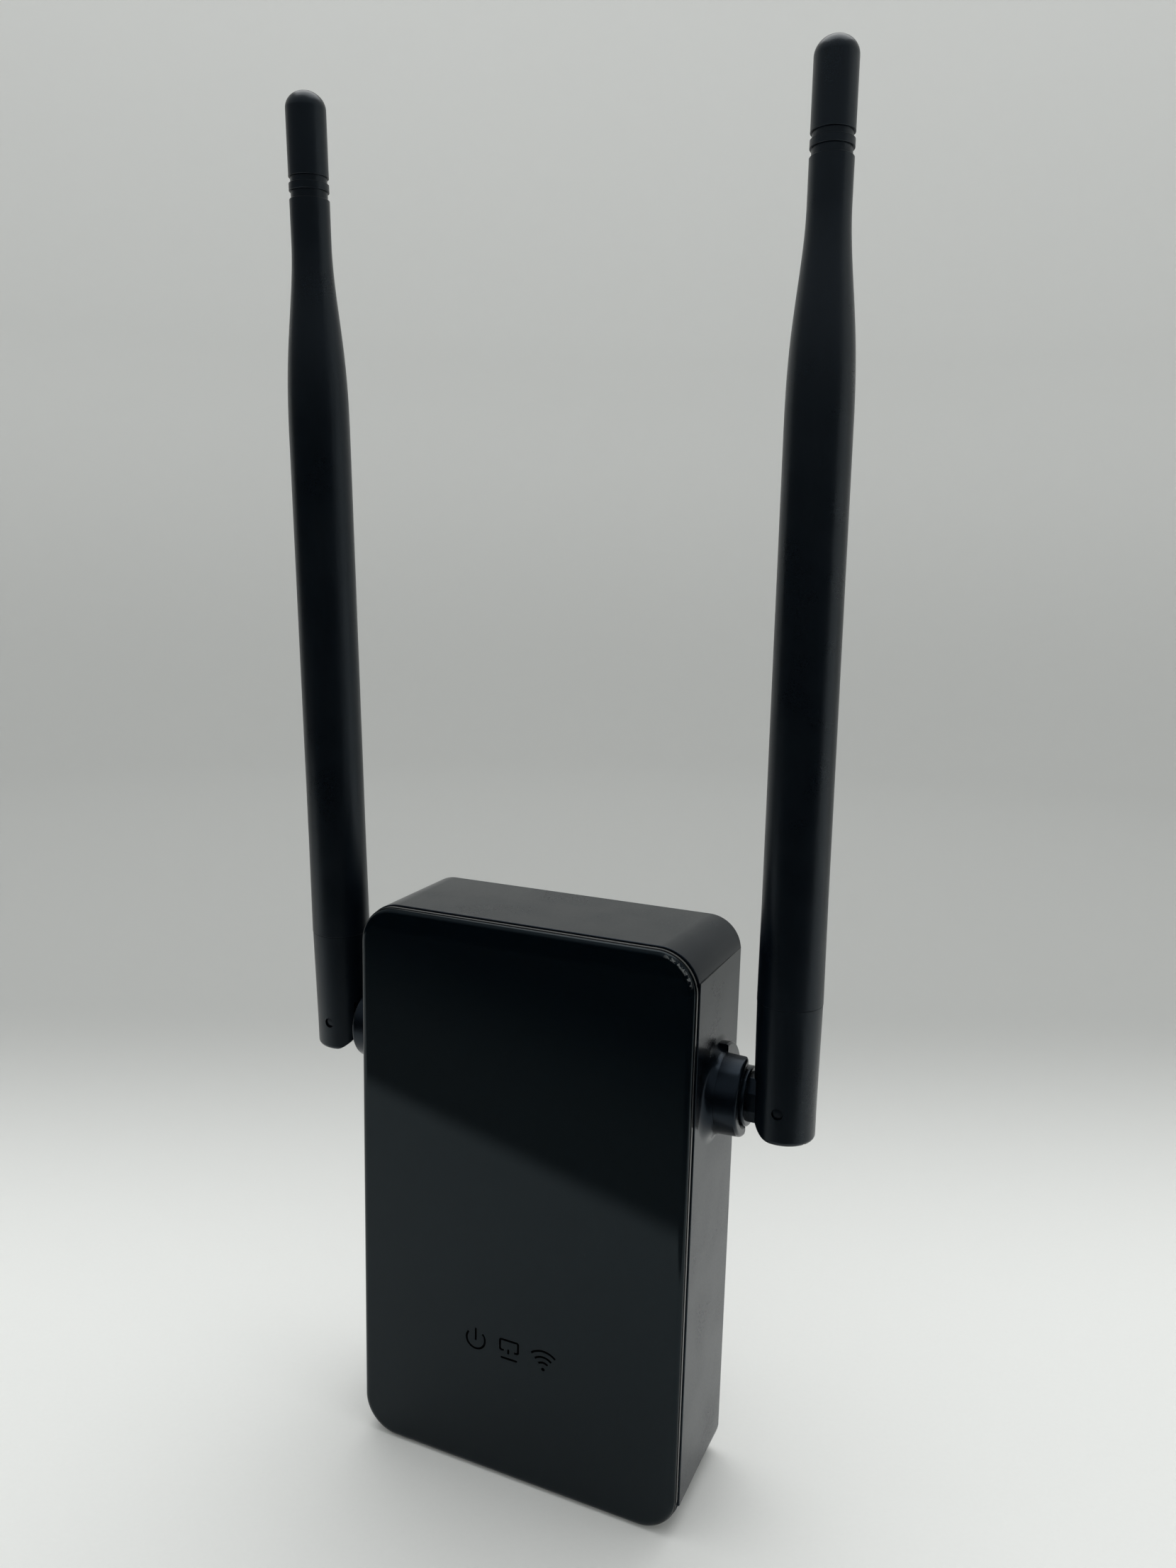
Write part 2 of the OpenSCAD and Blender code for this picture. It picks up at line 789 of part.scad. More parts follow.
// Tapered tube over the dipole
module aerial_sleeve(side) {
    n = len(sleeve_outer);
    inner = [for (i = [n - 1:-1:0]) [sleeve_outer[i].x - sleeve_wall, sleeve_outer[i].y]];
    color(aerial_black) tilted(side) rotate_extrude() polygon(concat(sleeve_outer, inner));
}
module right_aerial_sleeve() { aerial_sleeve(1); }
module left_aerial_sleeve() { aerial_sleeve(-1); }

// Plug that closes the tip, with a ring between two grooves and a domed end
module aerial_cap(side) {
    spigot = tip_r - sleeve_wall - 0.05;
    dome = [for (a = [0:9:90]) [tip_r * cos(a), aerial_len - dome_h + dome_h * sin(a)]];
    profile = concat(
        [[0, sleeve_top - 5], [spigot, sleeve_top - 5], [spigot, sleeve_top], [groove_r, sleeve_top],
            [groove_r, ring_z[0]], [tip_r, ring_z[0]], [tip_r, ring_z[1]], [groove_r, ring_z[1]],
            [groove_r, cap_z], [tip_r, cap_z]],
        dome);
    color(aerial_black) tilted(side) rotate_extrude() polygon(profile);
}
module right_aerial_cap() { aerial_cap(1); }
module left_aerial_cap() { aerial_cap(-1); }

module dipole_board(side) {
    color(board_green) tilted(side) block([-3, -0.4, base_top + 1], [3, 0.4, base_top + 90]);
}
module right_dipole_board() { dipole_board(1); }
module left_dipole_board() { dipole_board(-1); }

module aerial_coax(side) {
    color(plastic_black) tilted(side) translate([0, 0, 1.2]) cylinder(h = base_top - 0.2, r = coax_r);
}
module right_aerial_coax() { aerial_coax(1); }
module left_aerial_coax() { aerial_coax(-1); }

// Cable from the end of the shaft to its socket on the main board
module board_coax(side) {
    socket_z = 86;
    socket_x = side * 21;
    color(plastic_black) cable([
        [side * (shaft_end - 0.3), 0, axis_z], [side * (shaft_end - 2), 0, axis_z + 0.2],
        [side * (shaft_end - 4), -0.6, axis_z + 1.4], [side * (shaft_end - 6.4), -1.6, axis_z + 3.2],
        [socket_x, -2.6, socket_z]], coax_r);
    color(brass) translate([socket_x, board_back, socket_z]) rotate([-90, 0, 0]) cylinder(h = 1.7, r = 1.3);
}
module right_board_coax() { board_coax(1); }
module left_board_coax() { board_coax(-1); }

// ---- Assembly ----
rear_housing();
front_bezel();
front_panel();
housing_screws();
light_guide();
light_baffle();
power_led();
link_led();
signal_led();
main_board();
board_screws();
wifi_chip();
thermal_pad();
heat_sink();
rf_shield();
flash_chip();
crystal();
ethernet_transformer();
jack_shell();
jack_insert();
jack_contacts();
board_header();
reset_switch();
reset_plunger();
wps_switch();
wps_plunger();
wps_button();
power_board();
power_board_screws();
power_transformer();
input_capacitor();
output_capacitor();
bridge_rectifier();
mains_fuse();
plug_block();
plug_blades();
right_swivel();
right_friction_washer();
right_retaining_clip();
right_hinge_pins();
right_aerial_base();
right_aerial_sleeve();
right_aerial_cap();
right_dipole_board();
right_aerial_coax();
right_swivel_coax();
right_board_coax();
left_swivel();
left_friction_washer();
left_retaining_clip();
left_hinge_pins();
left_aerial_base();
left_aerial_sleeve();
left_aerial_cap();
left_dipole_board();
left_aerial_coax();
left_swivel_coax();
left_board_coax();
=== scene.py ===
"""Looks of the plug-in wifi range extender: its visible shells, their materials, and a plain studio.

Lengths are in millimetres until a mesh is made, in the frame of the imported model: +X right,
+Y back, +Z up, with the origin at the middle of the bottom face.
"""

import math

import bmesh
import bpy
from mathutils import Matrix, Vector


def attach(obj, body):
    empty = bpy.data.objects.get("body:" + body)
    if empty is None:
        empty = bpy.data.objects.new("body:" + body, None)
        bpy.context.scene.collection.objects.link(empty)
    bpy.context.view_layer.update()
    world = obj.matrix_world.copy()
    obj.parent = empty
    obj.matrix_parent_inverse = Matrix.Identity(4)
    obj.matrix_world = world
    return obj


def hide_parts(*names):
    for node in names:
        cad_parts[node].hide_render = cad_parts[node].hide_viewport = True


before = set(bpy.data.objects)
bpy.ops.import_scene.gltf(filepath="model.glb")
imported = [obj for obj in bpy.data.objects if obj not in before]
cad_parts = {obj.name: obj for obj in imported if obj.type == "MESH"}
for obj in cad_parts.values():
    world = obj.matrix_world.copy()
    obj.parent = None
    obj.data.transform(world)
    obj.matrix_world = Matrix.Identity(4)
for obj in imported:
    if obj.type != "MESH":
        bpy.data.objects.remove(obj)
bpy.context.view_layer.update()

MM = 0.001
ALONG_Y = Matrix.Rotation(math.radians(-90), 4, "X")
ALONG_X = Matrix.Rotation(math.radians(90), 4, "Y")

# Housing, as in part.scad
BODY_W = 67
BODY_H = 110
SIDE_X = BODY_W / 2
FRONT_Y = -12.8
BACK_Y = 12.8
CORNER_R = 7.5
BACK_CORNER_R = 6.2
CREASE = 5.6
WALL = 2
BACK_WALL = 2.2
PANEL_BACK = FRONT_Y + 0.9
PANEL_INSET = 0.35
PANEL_RISE = 0.7
PANEL_EDGE = 1.2
TUB_FRONT = FRONT_Y + 2
TUB_FLOOR = BACK_Y - BACK_WALL
TUB_EDGE = 0.7
RIM_EDGE = 0.22
LIP_T = 0.6
LIP_INSET = 0.2
LIP_EDGE = 0.07
GROOVE_INSET = 0.9
PLATE_BACK = TUB_FRONT + 1
SKIRT_T = 1.2
SKIRT_BACK = TUB_FRONT + 2.2
BOARD_FRONT = -5.9
BOARD_POSTS = ((-20, 93), (20, 93), (18, 10))
BOARD_POST_R = 2.4
SCREW_R = 0.8
GUIDE_W = 4.8
JACK_NOTCH_H = 6

# Icons
ICON_DEPTH = 0.2
ICON_LINE = 0.42
ICON_Z = 27.6
ICON_X = (-7.7, -0.55, 6.6)
ICON_REACH = (15, 5)
POWER_R = 1.97
SCREEN_W = 4.24
SCREEN_TOP = 1.9
SCREEN_LOW = -0.7
SCREEN_GAP = 2.2
SCREEN_CORNER = 0.5
SIGNAL_LOW = -1.9
SIGNAL_DOT_R = 0.36
SIGNAL_RADII = (1.4, 2.5, 3.7)

# Vents
VENT_X = (-16, 16)
VENT_Z = (24, 84)
VENT_ROWS = 6
VENT_PITCH = 3.2
VENT_W = 16
VENT_H = 1.4
VENT_R = 0.65

# Case screws, plug, jack and buttons
COLUMN_X = SIDE_X - 6
COLUMN_Z = (8, BODY_H - 8)
COLUMN_Y = 4
COLUMN_R = 2.6
COLUMN_BORE = 1
SCREW_HEAD_BORE = 2.05
SCREW_SEAT = COLUMN_Y + 2
CASE_PILOT = 7.5
BOARD_PILOT = 3.2
PLUG_Z = 62
PLUG_W = 26
PLUG_H = 12
PLUG_R = 0.4
PLUG_EDGE = 0.35
PLUG_SLIP = 0.12
PLUG_INNER = TUB_FLOOR - 1.4
BLADE_PITCH = 12.7
BLADE_T = 1.52
BLADE_W = 6.35
BLADE_START = 6.9
BLADE_END = BACK_Y + 16.5
BLADE_TIP = 1.6
BLADE_EDGE = 0.25
BLADE_HOLE_R = 1.6
BLADE_HOLE_Y = BACK_Y + 12
JACK_X = -16.5
JACK_W = 16
JACK_Y = (-4.7, 8.7)
BUTTON_Y = -2.7
BUTTON_Z = 46
BUTTON_R = 3
BUTTON_RISE = 0.6
BUTTON_FLANGE = 0.8
BUTTON_STEM_R = 1.4
BUTTON_STEM_END = -26
RESET_Z = 34
RESET_R = 0.9

# Swivels
AXIS_Z = 81.6
LEAN = {1: -1.1, -1: 3.2}
TILT = {1: -0.6, -1: -0.3}
PIN_X = 46.2
FLARE_R = 9.8
FLARE_T = 2
FLANGE_R = 8.7
FLANGE_END = SIDE_X + 2.1
FLANGE_STEP = 4
FLANGE_EDGE = 0.4
BOSS_R = 7.55
BOSS_TOP_R = 7.3
BOSS_END = SIDE_X + 6
BOSS_EDGE = 0.6
BOSS_CORNER = 0.35
COLLAR_R = 5.3
COLLAR_GAP = 0.55
COLLAR_EDGE = 0.35
COLLAR_INNER_EDGE = 0.15
COLLAR_END = BOSS_END + 0.7
COLLAR_START = FLANGE_END + 0.4
SHAFT_R = 4.5
SHAFT_EDGE = 0.3
SHAFT_END = SIDE_X - WALL - 2.1
SLIP = 0.06
COAX_BORE = 1.6
CLIP_T = 0.8
CLIP_X = SIDE_X - WALL - CLIP_T - 0.05
CLIP_GROOVE_R = 3.8

# Neck and hinge
NECK_H = 8.2
NECK_W = 5.8
NECK_EDGE = 1.63
NECK_CUT = 1.2
NECK_SOFT = 0.18
PIN_R = 1
PIN_SLIP = 0.02
PIN_INNER = 1.9
DIMPLE = 0.35
CHEEK_GAP = 0.1
SLOT_R = NECK_H / 2 + 0.25

# Aerials, measured from the pin
AERIAL_R = 5.4
FOOT_LOW = -5.8
FOOT_EDGE = 0.9
BASE_TOP = 18.4
SEAM_R = 5.6
SLEEVE_R = 5.65
SPIGOT_R = 4.3
SPIGOT_H = 6
SPIGOT_EDGE = 0.4
BASE_BORE = 2.4
SLEEVE_TOP = 153.9
SLEEVE_WALL = 1.1
STRAIGHT_R = 5.55
STRAIGHT_Z = 36.4
SHOULDER_R = 5.5
SHOULDER_Z = 112
NECK_Z = 147
TIP_R = 3.5
RING_Z = (SLEEVE_TOP + 1.3, SLEEVE_TOP + 2.6)
CAP_Z = SLEEVE_TOP + 3.6
GROOVE_R = TIP_R - 0.3
CAP_SPIGOT_H = 5
CAP_SLIP = 0.05
AERIAL_LEN = 171.4
DOME_H = 3
SEAM_EDGE = 0.07

# How far a cutter goes past what it cuts
PAST = 1


# ---- Outlines ----


def arc(x, y, radius, start, end, steps):
    """Points of an arc about (x, y), from one angle to another in degrees."""
    angles = [math.radians(start + (end - start) * i / steps) for i in range(steps + 1)]
    return [(x + radius * math.cos(a), y + radius * math.sin(a)) for a in angles]


def rounded_rect(width, height, radius, x=0, y=0, steps=8):
    """Outline of a rectangle with round corners."""
    corners = ((1, 1, 0), (-1, 1, 90), (-1, -1, 180), (1, -1, 270))
    points = []
    for side, end, start in corners:
        centre = (x + side * (width / 2 - radius), y + end * (height / 2 - radius))
        points += arc(*centre, radius, start, start + 90, steps)
    return points


def softened(points, radius, steps=3):
    """The same polygon with each corner rounded off."""
    rounded = []
    count = len(points)
    for i, point in enumerate(points):
        here = Vector(point)
        before = (Vector(points[i - 1]) - here).normalized()
        after = (Vector(points[(i + 1) % count]) - here).normalized()
        half = before.angle(after) / 2
        reach = radius / math.tan(half)
        centre = here + (before + after).normalized() * (radius / math.sin(half))
        first = here + before * reach - centre
        last = here + after * reach - centre
        turn = first.angle_signed(last)
        for step in range(steps + 1):
            spoke = first.copy()
            spoke.rotate(Matrix.Rotation(-turn * step / steps, 2))
            rounded.append(tuple(centre + spoke))
    return rounded


def four_quarters(quarter):
    """A whole outline from the points of its upper right quarter, from the side to the top."""
    upper_left = [(-x, z) for x, z in reversed(quarter)]
    lower_left = [(-x, -z) for x, z in quarter]
    lower_right = [(x, -z) for x, z in reversed(quarter)]
    return quarter + upper_left + lower_left + lower_right


def body_outline(inset, creased=False, corner=CORNER_R, steps=16):
    """The housing's outline about its middle. A creased one has flat sides that stand a little proud."""
    radius = corner - inset
    centre = (SIDE_X - corner, BODY_H / 2 - corner)
    if creased:
        start = math.degrees(math.asin((corner - CREASE) / radius))
        side = [(SIDE_X - inset, BODY_H / 2 - CREASE)]
        return four_quarters(side + arc(*centre, radius, start, 90, steps))
    return four_quarters(arc(*centre, radius, 0, 90, steps + 1))


def body_ring(y, inset, creased=False, corner=CORNER_R):
    """The housing's outline as a ring of points at one depth."""
    return [(x, y, z + BODY_H / 2) for x, z in body_outline(inset, creased, corner)]


def ease(radius, steps=4):
    """(depth, inset) pairs that round an edge, from the side face to the end face."""
    return [(radius * (1 - math.sin(a)), radius * (1 - math.cos(a)))
            for a in (math.radians(90 * i / steps) for i in range(steps + 1))]


# ---- Meshes ----


def loft(rings, closed=False):
    """A closed mesh through rings of as many points each. With closed, its last ring joins its first."""
    bm = bmesh.new()
    loops = [[bm.verts.new(point) for point in ring] for ring in rings]
    pairs = list(zip(loops, loops[1:]))
    if closed:
        pairs.append((loops[-1], loops[0]))
    for low, high in pairs:
        for i, vert in enumerate(low):
            bm.faces.new((low[i - 1], vert, high[i], high[i - 1]))
    if not closed:
        bm.faces.new(loops[0])
        bm.faces.new(loops[-1])
    bmesh.ops.recalc_face_normals(bm, faces=bm.faces)
    return bm


def lathe(profile, segments=96, closed=False):
    """A (radius, height) profile turned about Z. An open profile starts and ends on the axis."""
    bm = bmesh.new()
    rings = []
    for radius, height in profile:
        if radius < 1e-6:
            rings.append([bm.verts.new((0, 0, height))])
            continue
        rings.append([bm.verts.new((radius * math.cos(a), radius * math.sin(a), height))
                      for a in (2 * math.pi * i / segments for i in range(segments))])
    pairs = list(zip(rings, rings[1:]))
    if closed:
        pairs.append((rings[-1], rings[0]))
    for low, high in pairs:
        for i in range(segments):
            corners = [low[(i - 1) % len(low)], low[i % len(low)],
                       high[i % len(high)], high[(i - 1) % len(high)]]
            bm.faces.new(list(dict.fromkeys(corners)))
    bmesh.ops.recalc_face_normals(bm, faces=bm.faces)
    return bm


def round_bar(radius, start, end, matrix=Matrix.Identity(4), segments=64):
    """A bar along Z from start to end, placed by a matrix."""
    return placed(lathe([(0, start), (radius, start), (radius, end), (0, end)], segments), matrix)


def prism(outline, start, end, matrix=Matrix.Identity(4)):
    """An outline in the first two axes made solid along the third, placed by a matrix."""
    return placed(loft([[(x, y, depth) for x, y in outline] for depth in (start, end)]), matrix)


def placed(bm, matrix):
    """Moves a mesh by a matrix, and keeps its faces outward when the matrix mirrors it."""
    bm.transform(matrix)
    if matrix.determinant() < 0:
        bmesh.ops.reverse_faces(bm, faces=bm.faces)
    return bm


# Turns a prism's outline axes into X and Z, with its length along +Y
OUTLINE_XZ = Matrix(((1, 0, 0, 0), (0, 0, 1, 0), (0, 1, 0, 0), (0, 0, 0, 1)))
# Turns a prism's outline axes into Y and Z, with its length along +X
OUTLINE_YZ = Matrix(((0, 0, 1, 0), (1, 0, 0, 0), (0, 1, 0, 0), (0, 0, 0, 1)))


def as_object(bm, name):
    """Turns a bmesh into an object in the scene."""
    mesh = bpy.data.meshes.new(name)
    bm.to_mesh(mesh)
    bm.free()
    obj = bpy.data.objects.new(name, mesh)
    bpy.context.scene.collection.objects.link(obj)
    return obj


def combined(base, tools, operation):
    """The boolean of a mesh and a list of meshes that may overlap each other."""
    target = as_object(base, "boolean_base")
    for tool in tools:
        cutter = as_object(tool, "boolean_tool")
        modifier = target.modifiers.new("boolean", "BOOLEAN")
        modifier.operation = operation
        modifier.solver = "MANIFOLD"
        modifier.object = cutter
        evaluated = target.evaluated_get(bpy.context.evaluated_depsgraph_get())
        result = bpy.data.meshes.new_from_object(evaluated)
        target.modifiers.clear()
        target.data = result
        bpy.data.objects.remove(cutter)
    bm = bmesh.new()
    bm.from_mesh(target.data)
    bpy.data.objects.remove(target)
    return bm


def merged(meshes):
    """Separate closed meshes in one."""
    together = bmesh.new()
    for bm in meshes:
        mesh = bpy.data.meshes.new("merge")
        bm.to_mesh(mesh)
        bm.free()
        together.from_mesh(mesh)
        bpy.data.meshes.remove(mesh)
    return together


SHARP = math.radians(32)


def piece(name, bm, body, material, replaces=()):
    """Makes a mesh in millimetres a piece of the visual model."""
    bmesh.ops.remove_doubles(bm, verts=bm.verts, dist=1e-4)
    bm.transform(Matrix.Scale(MM, 4))
    for face in bm.faces:
        face.smooth = True
    for edge in bm.edges:
        edge.smooth = len(edge.link_faces) == 2 and edge.calc_face_angle(0) < SHARP
    obj = as_object(bm, name)
    obj.data.materials.append(material)
    shading = obj.modifiers.new("even_shading", "WEIGHTED_NORMAL")
    shading.keep_sharp = True
    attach(obj, body)
    if replaces:
        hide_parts(*replaces)
    return obj


# ---- Materials ----


class Graph:
    """Short calls for building a material's nodes."""

    def __init__(self, name):
        self.material = bpy.data.materials.new(name)
        self.material.use_nodes = True
        self.tree = self.material.node_tree
        self.shader = self.tree.nodes["Principled BSDF"]
        coordinates = self.tree.nodes.new("ShaderNodeTexCoord")
        self.place = coordinates.outputs["Object"]

    def link(self, source, target):
        """Joins an output to an input."""
        self.tree.links.new(source, target)

    def node(self, kind, **values):
        """A new node, with its settings or inputs given by name."""
        made = self.tree.nodes.new("ShaderNode" + kind)
        for key, value in values.items():
            if hasattr(made, key):
                setattr(made, key, value)
            else:
                made.inputs[key.replace("_", " ")].default_value = value
        return made

    def noise(self, size, detail=2.0, stretch=None, roughness=0.5):
        """Noise whose features are about this many millimetres across."""
        made = self.node("TexNoise", Scale=1 / (size * MM), Detail=detail, Roughness=roughness)
        source = self.place
        if stretch:
            mapping = self.node("Mapping", Scale=stretch)
            self.link(source, mapping.inputs["Vector"])
            source = mapping.outputs["Vector"]
        self.link(source, made.inputs["Vector"])
        return made.outputs["Fac"]

    def ramp(self, source, low, high, out_low=0.0, out_high=1.0):
        """A smooth step from one value to another as the source goes from low to high."""
        made = self.node("MapRange")
        made.interpolation_type = "SMOOTHSTEP"
        limits = {"From Min": low, "From Max": high, "To Min": out_low, "To Max": out_high}
        for key, value in limits.items():
            made.inputs[key].default_value = value
        self.link(source, made.inputs["Value"])
        return made.outputs["Result"]

    def mix(self, factor, first, second):
        """A blend of two colours."""
        made = self.node("Mix", data_type="RGBA")
        for source, socket in ((factor, made.inputs[0]), (first, made.inputs[6]), (second, made.inputs[7])):
            if hasattr(source, "links"):
                self.link(source, socket)
            elif isinstance(source, (int, float)):
                socket.default_value = source
            else:
                socket.default_value = (*source, 1)
        return made.outputs[2]

    def sums(self, operation, first, second):
        """One arithmetic step on two values."""
        made = self.node("Math", operation=operation)
        for source, socket in ((first, made.inputs[0]), (second, made.inputs[1])):
            if hasattr(source, "links"):
                self.link(source, socket)
            else:
                socket.default_value = source
        return made.outputs["Value"]

    def bump(self, height, depth, below=None):
        """Bump whose full height is this many millimetres."""
        made = self.node("Bump", Distance=depth * MM, Strength=1.0)
        self.link(height, made.inputs["Height"])
        if below is not None:
            self.link(below, made.inputs["Normal"])
        return made.outputs["Normal"]

    def specks(self, spacing, size, share):
        """Sparse dots, one in a share of the cells."""
        cells = self.node("TexVoronoi", Scale=1 / (spacing * MM))
        self.link(self.place, cells.inputs["Vector"])
        near = self.ramp(cells.outputs["Distance"], size / spacing, size / spacing * 0.4)
        chosen = self.node("SeparateColor")
        self.link(cells.outputs["Color"], chosen.inputs["Color"])
        keep = self.sums("LESS_THAN", chosen.outputs["Red"], share)
        return self.sums("MULTIPLY", near, keep)


def shaded(colour, factor):
    """The colour made lighter or darker."""
    return tuple(min(1, channel * factor) for channel in colour)


def finish_of(name, colour, roughness, grain=0.3, grain_depth=0.004, mottle=0.12, metallic=0.0,
              specular=0.5, facing=(1, 1, 1), coat=0.0, stretch=None, dust=0.0, spread=0.08):
    """A moulded, cast or drawn surface: fine grain, slow changes of colour and gloss, and some dust."""
    graph = Graph(name)
    shader = graph.shader
    slow = graph.noise(14, detail=3)
    fine = graph.noise(grain, detail=3, stretch=stretch)
    tint = graph.mix(graph.ramp(slow, 0.3, 0.7), shaded(colour, 1 - mottle), shaded(colour, 1 + mottle))
    gloss = graph.sums("ADD", graph.ramp(slow, 0.3, 0.7, roughness - spread / 2, roughness + spread / 2),
                       graph.ramp(fine, 0.25, 0.75, -spread / 3, spread / 3))
    if dust:
        mark = graph.specks(9, 0.16, dust)
        tint = graph.mix(graph.sums("MULTIPLY", mark, 0.5), tint, (0.35, 0.35, 0.34))
        gloss = graph.sums("ADD", gloss, graph.sums("MULTIPLY", mark, 0.3))
    graph.link(tint, shader.inputs["Base Color"])
    graph.link(gloss, shader.inputs["Roughness"])
    graph.link(graph.bump(fine, grain_depth), shader.inputs["Normal"])
    shader.inputs["Metallic"].default_value = metallic
    shader.inputs["Specular IOR Level"].default_value = specular
    shader.inputs["Specular Tint"].default_value = (*facing, 1)
    shader.inputs["Coat Weight"].default_value = coat
    return graph.material


def panel_finish():
    """Piano black: a mirror with dust, faint smears and one scuffed corner."""
    graph = Graph("piano_black")
    shader = graph.shader
    smear = graph.ramp(graph.noise(22, detail=4, stretch=(1, 1, 0.5)), 0.45, 0.8)
    dust = graph.specks(7, 0.13, 0.2)
    worn = graph.sums("MULTIPLY", scuff_band(graph), scuff_grain(graph))
    tint = graph.mix(graph.sums("MULTIPLY", dust, 0.3), PANEL_TINT, (0.25, 0.26, 0.26))
    tint = graph.mix(graph.sums("MULTIPLY", worn, 0.35), tint, (0.3, 0.31, 0.31))
    gloss = graph.sums("ADD", graph.ramp(smear, 0, 1, 0.03, 0.07), graph.sums("MULTIPLY", dust, 0.3))
    gloss = graph.sums("ADD", gloss, graph.sums("MULTIPLY", worn, 0.45))
    graph.link(tint, shader.inputs["Base Color"])
    graph.link(gloss, shader.inputs["Roughness"])
    wave = graph.bump(graph.noise(30, detail=1), 0.004)
    graph.link(graph.bump(worn, 0.03, wave), shader.inputs["Normal"])
    shader.inputs["Specular IOR Level"].default_value = 0.25
    shader.inputs["Specular Tint"].default_value = (*PANEL_FACING, 1)
    return graph.material


def scuff_band(graph):
    """Where the panel's upper right corner is scuffed: a short band that follows the outline."""
    centre = Vector((SIDE_X - CORNER_R, FRONT_Y, BODY_H - CORNER_R))
    angle = math.radians(SCUFF_ANGLE)
    spot = centre + Vector((math.cos(angle), 0, math.sin(angle))) * SCUFF_R
    band = None
    for point, low, high in ((centre, *SCUFF_INNER), (centre, *SCUFF_OUTER), (spot, *SCUFF_REACH)):
        away = graph.node("VectorMath", operation="DISTANCE")
        away.inputs[1].default_value = point * MM
        graph.link(graph.place, away.inputs[0])
        near = graph.ramp(away.outputs["Value"], low * MM, high * MM)
        band = near if band is None else graph.sums("MULTIPLY", band, near)
    return band


def scuff_grain(graph):
    """The broken texture of the scuff."""
    return graph.ramp(graph.noise(0.6, detail=4, roughness=0.7), 0.47, 0.55)


def board_finish():
    """Solder mask over copper tracks, with rows of plated holes."""
    graph = Graph("solder_mask")
    shader = graph.shader
    mapping = graph.node("Mapping", Rotation=(math.radians(90), 0, 0))
    graph.link(graph.place, mapping.inputs["Vector"])
    tracks = graph.node("TexBrick", Scale=1 / (1.1 * MM), Mortar_Size=0.12, Brick_Width=4.2, Row_Height=0.7)
    graph.link(mapping.outputs["Vector"], tracks.inputs["Vector"])
    areas = graph.ramp(graph.noise(9, detail=1), 0.46, 0.5)
    copper = graph.sums("MULTIPLY", tracks.outputs["Fac"], areas)
    tint = graph.mix(copper, (0.006, 0.055, 0.022), (0.02, 0.12, 0.045))
    holes = graph.specks(2.4, 0.32, 0.35)
    tint = graph.mix(holes, tint, (0.5, 0.5, 0.47))
    graph.link(tint, shader.inputs["Base Color"])
    graph.link(graph.ramp(graph.noise(3), 0.3, 0.7, 0.24, 0.36), shader.inputs["Roughness"])
    graph.link(graph.bump(copper, 0.03), shader.inputs["Normal"])
    return graph.material


def stage_finish():
    """Seamless paper, white round the object. Past a line it has painted shade that makes it greyer behind
    the object, and painted light from above that makes it paler again higher up.
    """
    graph = Graph("paper_with_painted_shade")
    shader = graph.shader
    along = graph.node("VectorMath", operation="DOT_PRODUCT")
    along.inputs[1].default_value = (-math.sin(PAPER_FACING), math.cos(PAPER_FACING), 0)
    graph.link(graph.place, along.inputs[0])
    split = graph.node("SeparateXYZ")
    graph.link(graph.place, split.inputs["Vector"])
    # Painted shade: the paper goes grey behind the object, and paler higher up as painted light from above.
    upper = graph.mix(graph.ramp(split.outputs["Z"], 0, PAPER_RISE), PAPER_SHADE_LOW, PAPER_SHADE_HIGH)
    tint = graph.mix(graph.ramp(along.outputs["Value"], *PAPER_TURN), PAPER_WHITE, upper)
    tooth = graph.noise(0.8, detail=3)
    tint = graph.mix(graph.ramp(tooth, 0.2, 0.8, 0, 0.03), tint, (0.5, 0.5, 0.5))
    graph.link(tint, shader.inputs["Base Color"])
    graph.link(graph.bump(tooth, 0.01), shader.inputs["Normal"])
    shader.inputs["Roughness"].default_value = 0.9
    shader.inputs["Specular IOR Level"].default_value = 0.1
    return graph.material


def card_finish():
    """A card that only reflections see: it fades the floor out towards the dark room in front."""
    graph = Graph("reflected_card")
    shader = graph.shader
    along = graph.node("VectorMath", operation="DOT_PRODUCT")
    along.inputs[1].default_value = (math.sin(CARD_TURN), -math.cos(CARD_TURN), 0)
    graph.link(graph.place, along.inputs[0])
    near = graph.mix(graph.ramp(along.outputs["Value"], *CARD_EDGE), PAPER_WHITE, CARD_TABLE)
    tint = graph.mix(graph.ramp(along.outputs["Value"], *CARD_FADE), near, CARD_DARK)
    graph.link(tint, shader.inputs["Base Color"])
    shader.inputs["Roughness"].default_value = 0.9
    return graph.material


# The panel's colour, and its scuff: a thin band at this angle and radius about the corner's centre
PANEL_TINT = (0.0006, 0.0018, 0.0030)
PANEL_FACING = (0.74, 0.91, 1)
SCUFF_ANGLE = 46
SCUFF_R = 6.75
SCUFF_INNER = (SCUFF_R - 0.4, SCUFF_R - 0.15)
SCUFF_OUTER = (SCUFF_R + 0.3, SCUFF_R + 0.1)
SCUFF_REACH = (4.2, 2.4)

# Tint of what a black plastic reflects face on; at a grazing angle it reflects plain white
COOL = (0.46, 0.6, 0.78)
FAINTLY_COOL = (0.78, 0.9, 1)

SATIN = finish_of("satin_housing", (0.0012, 0.0023, 0.0038), 0.23, grain=0.5, grain_depth=0.0008, dust=0.12,
                  specular=0.32, facing=COOL)
GLOSS = panel_finish()
BEZEL = finish_of("gloss_bezel", (0.002, 0.003, 0.004), 0.14, grain=0.6, grain_depth=0.001)
AERIAL = finish_of("matte_aerial", (0.0012, 0.0030, 0.0056), 0.32, grain=0.22, grain_depth=0.009, dust=0.25,
                   specular=0.34, facing=FAINTLY_COOL)
ICON = finish_of("icon_black", (0.0002, 0.0003, 0.0008), 0.8, grain=0.2, grain_depth=0.004,
                 specular=0.04)
STEEL = finish_of("screw_steel", (0.42, 0.43, 0.44), 0.34, grain=0.4, metallic=1, mottle=0.08)
TIN = finish_of("tin_plate", (0.62, 0.62, 0.6), 0.3, grain=0.5, grain_depth=0.002, metallic=1,
                stretch=(1, 1, 0.1))
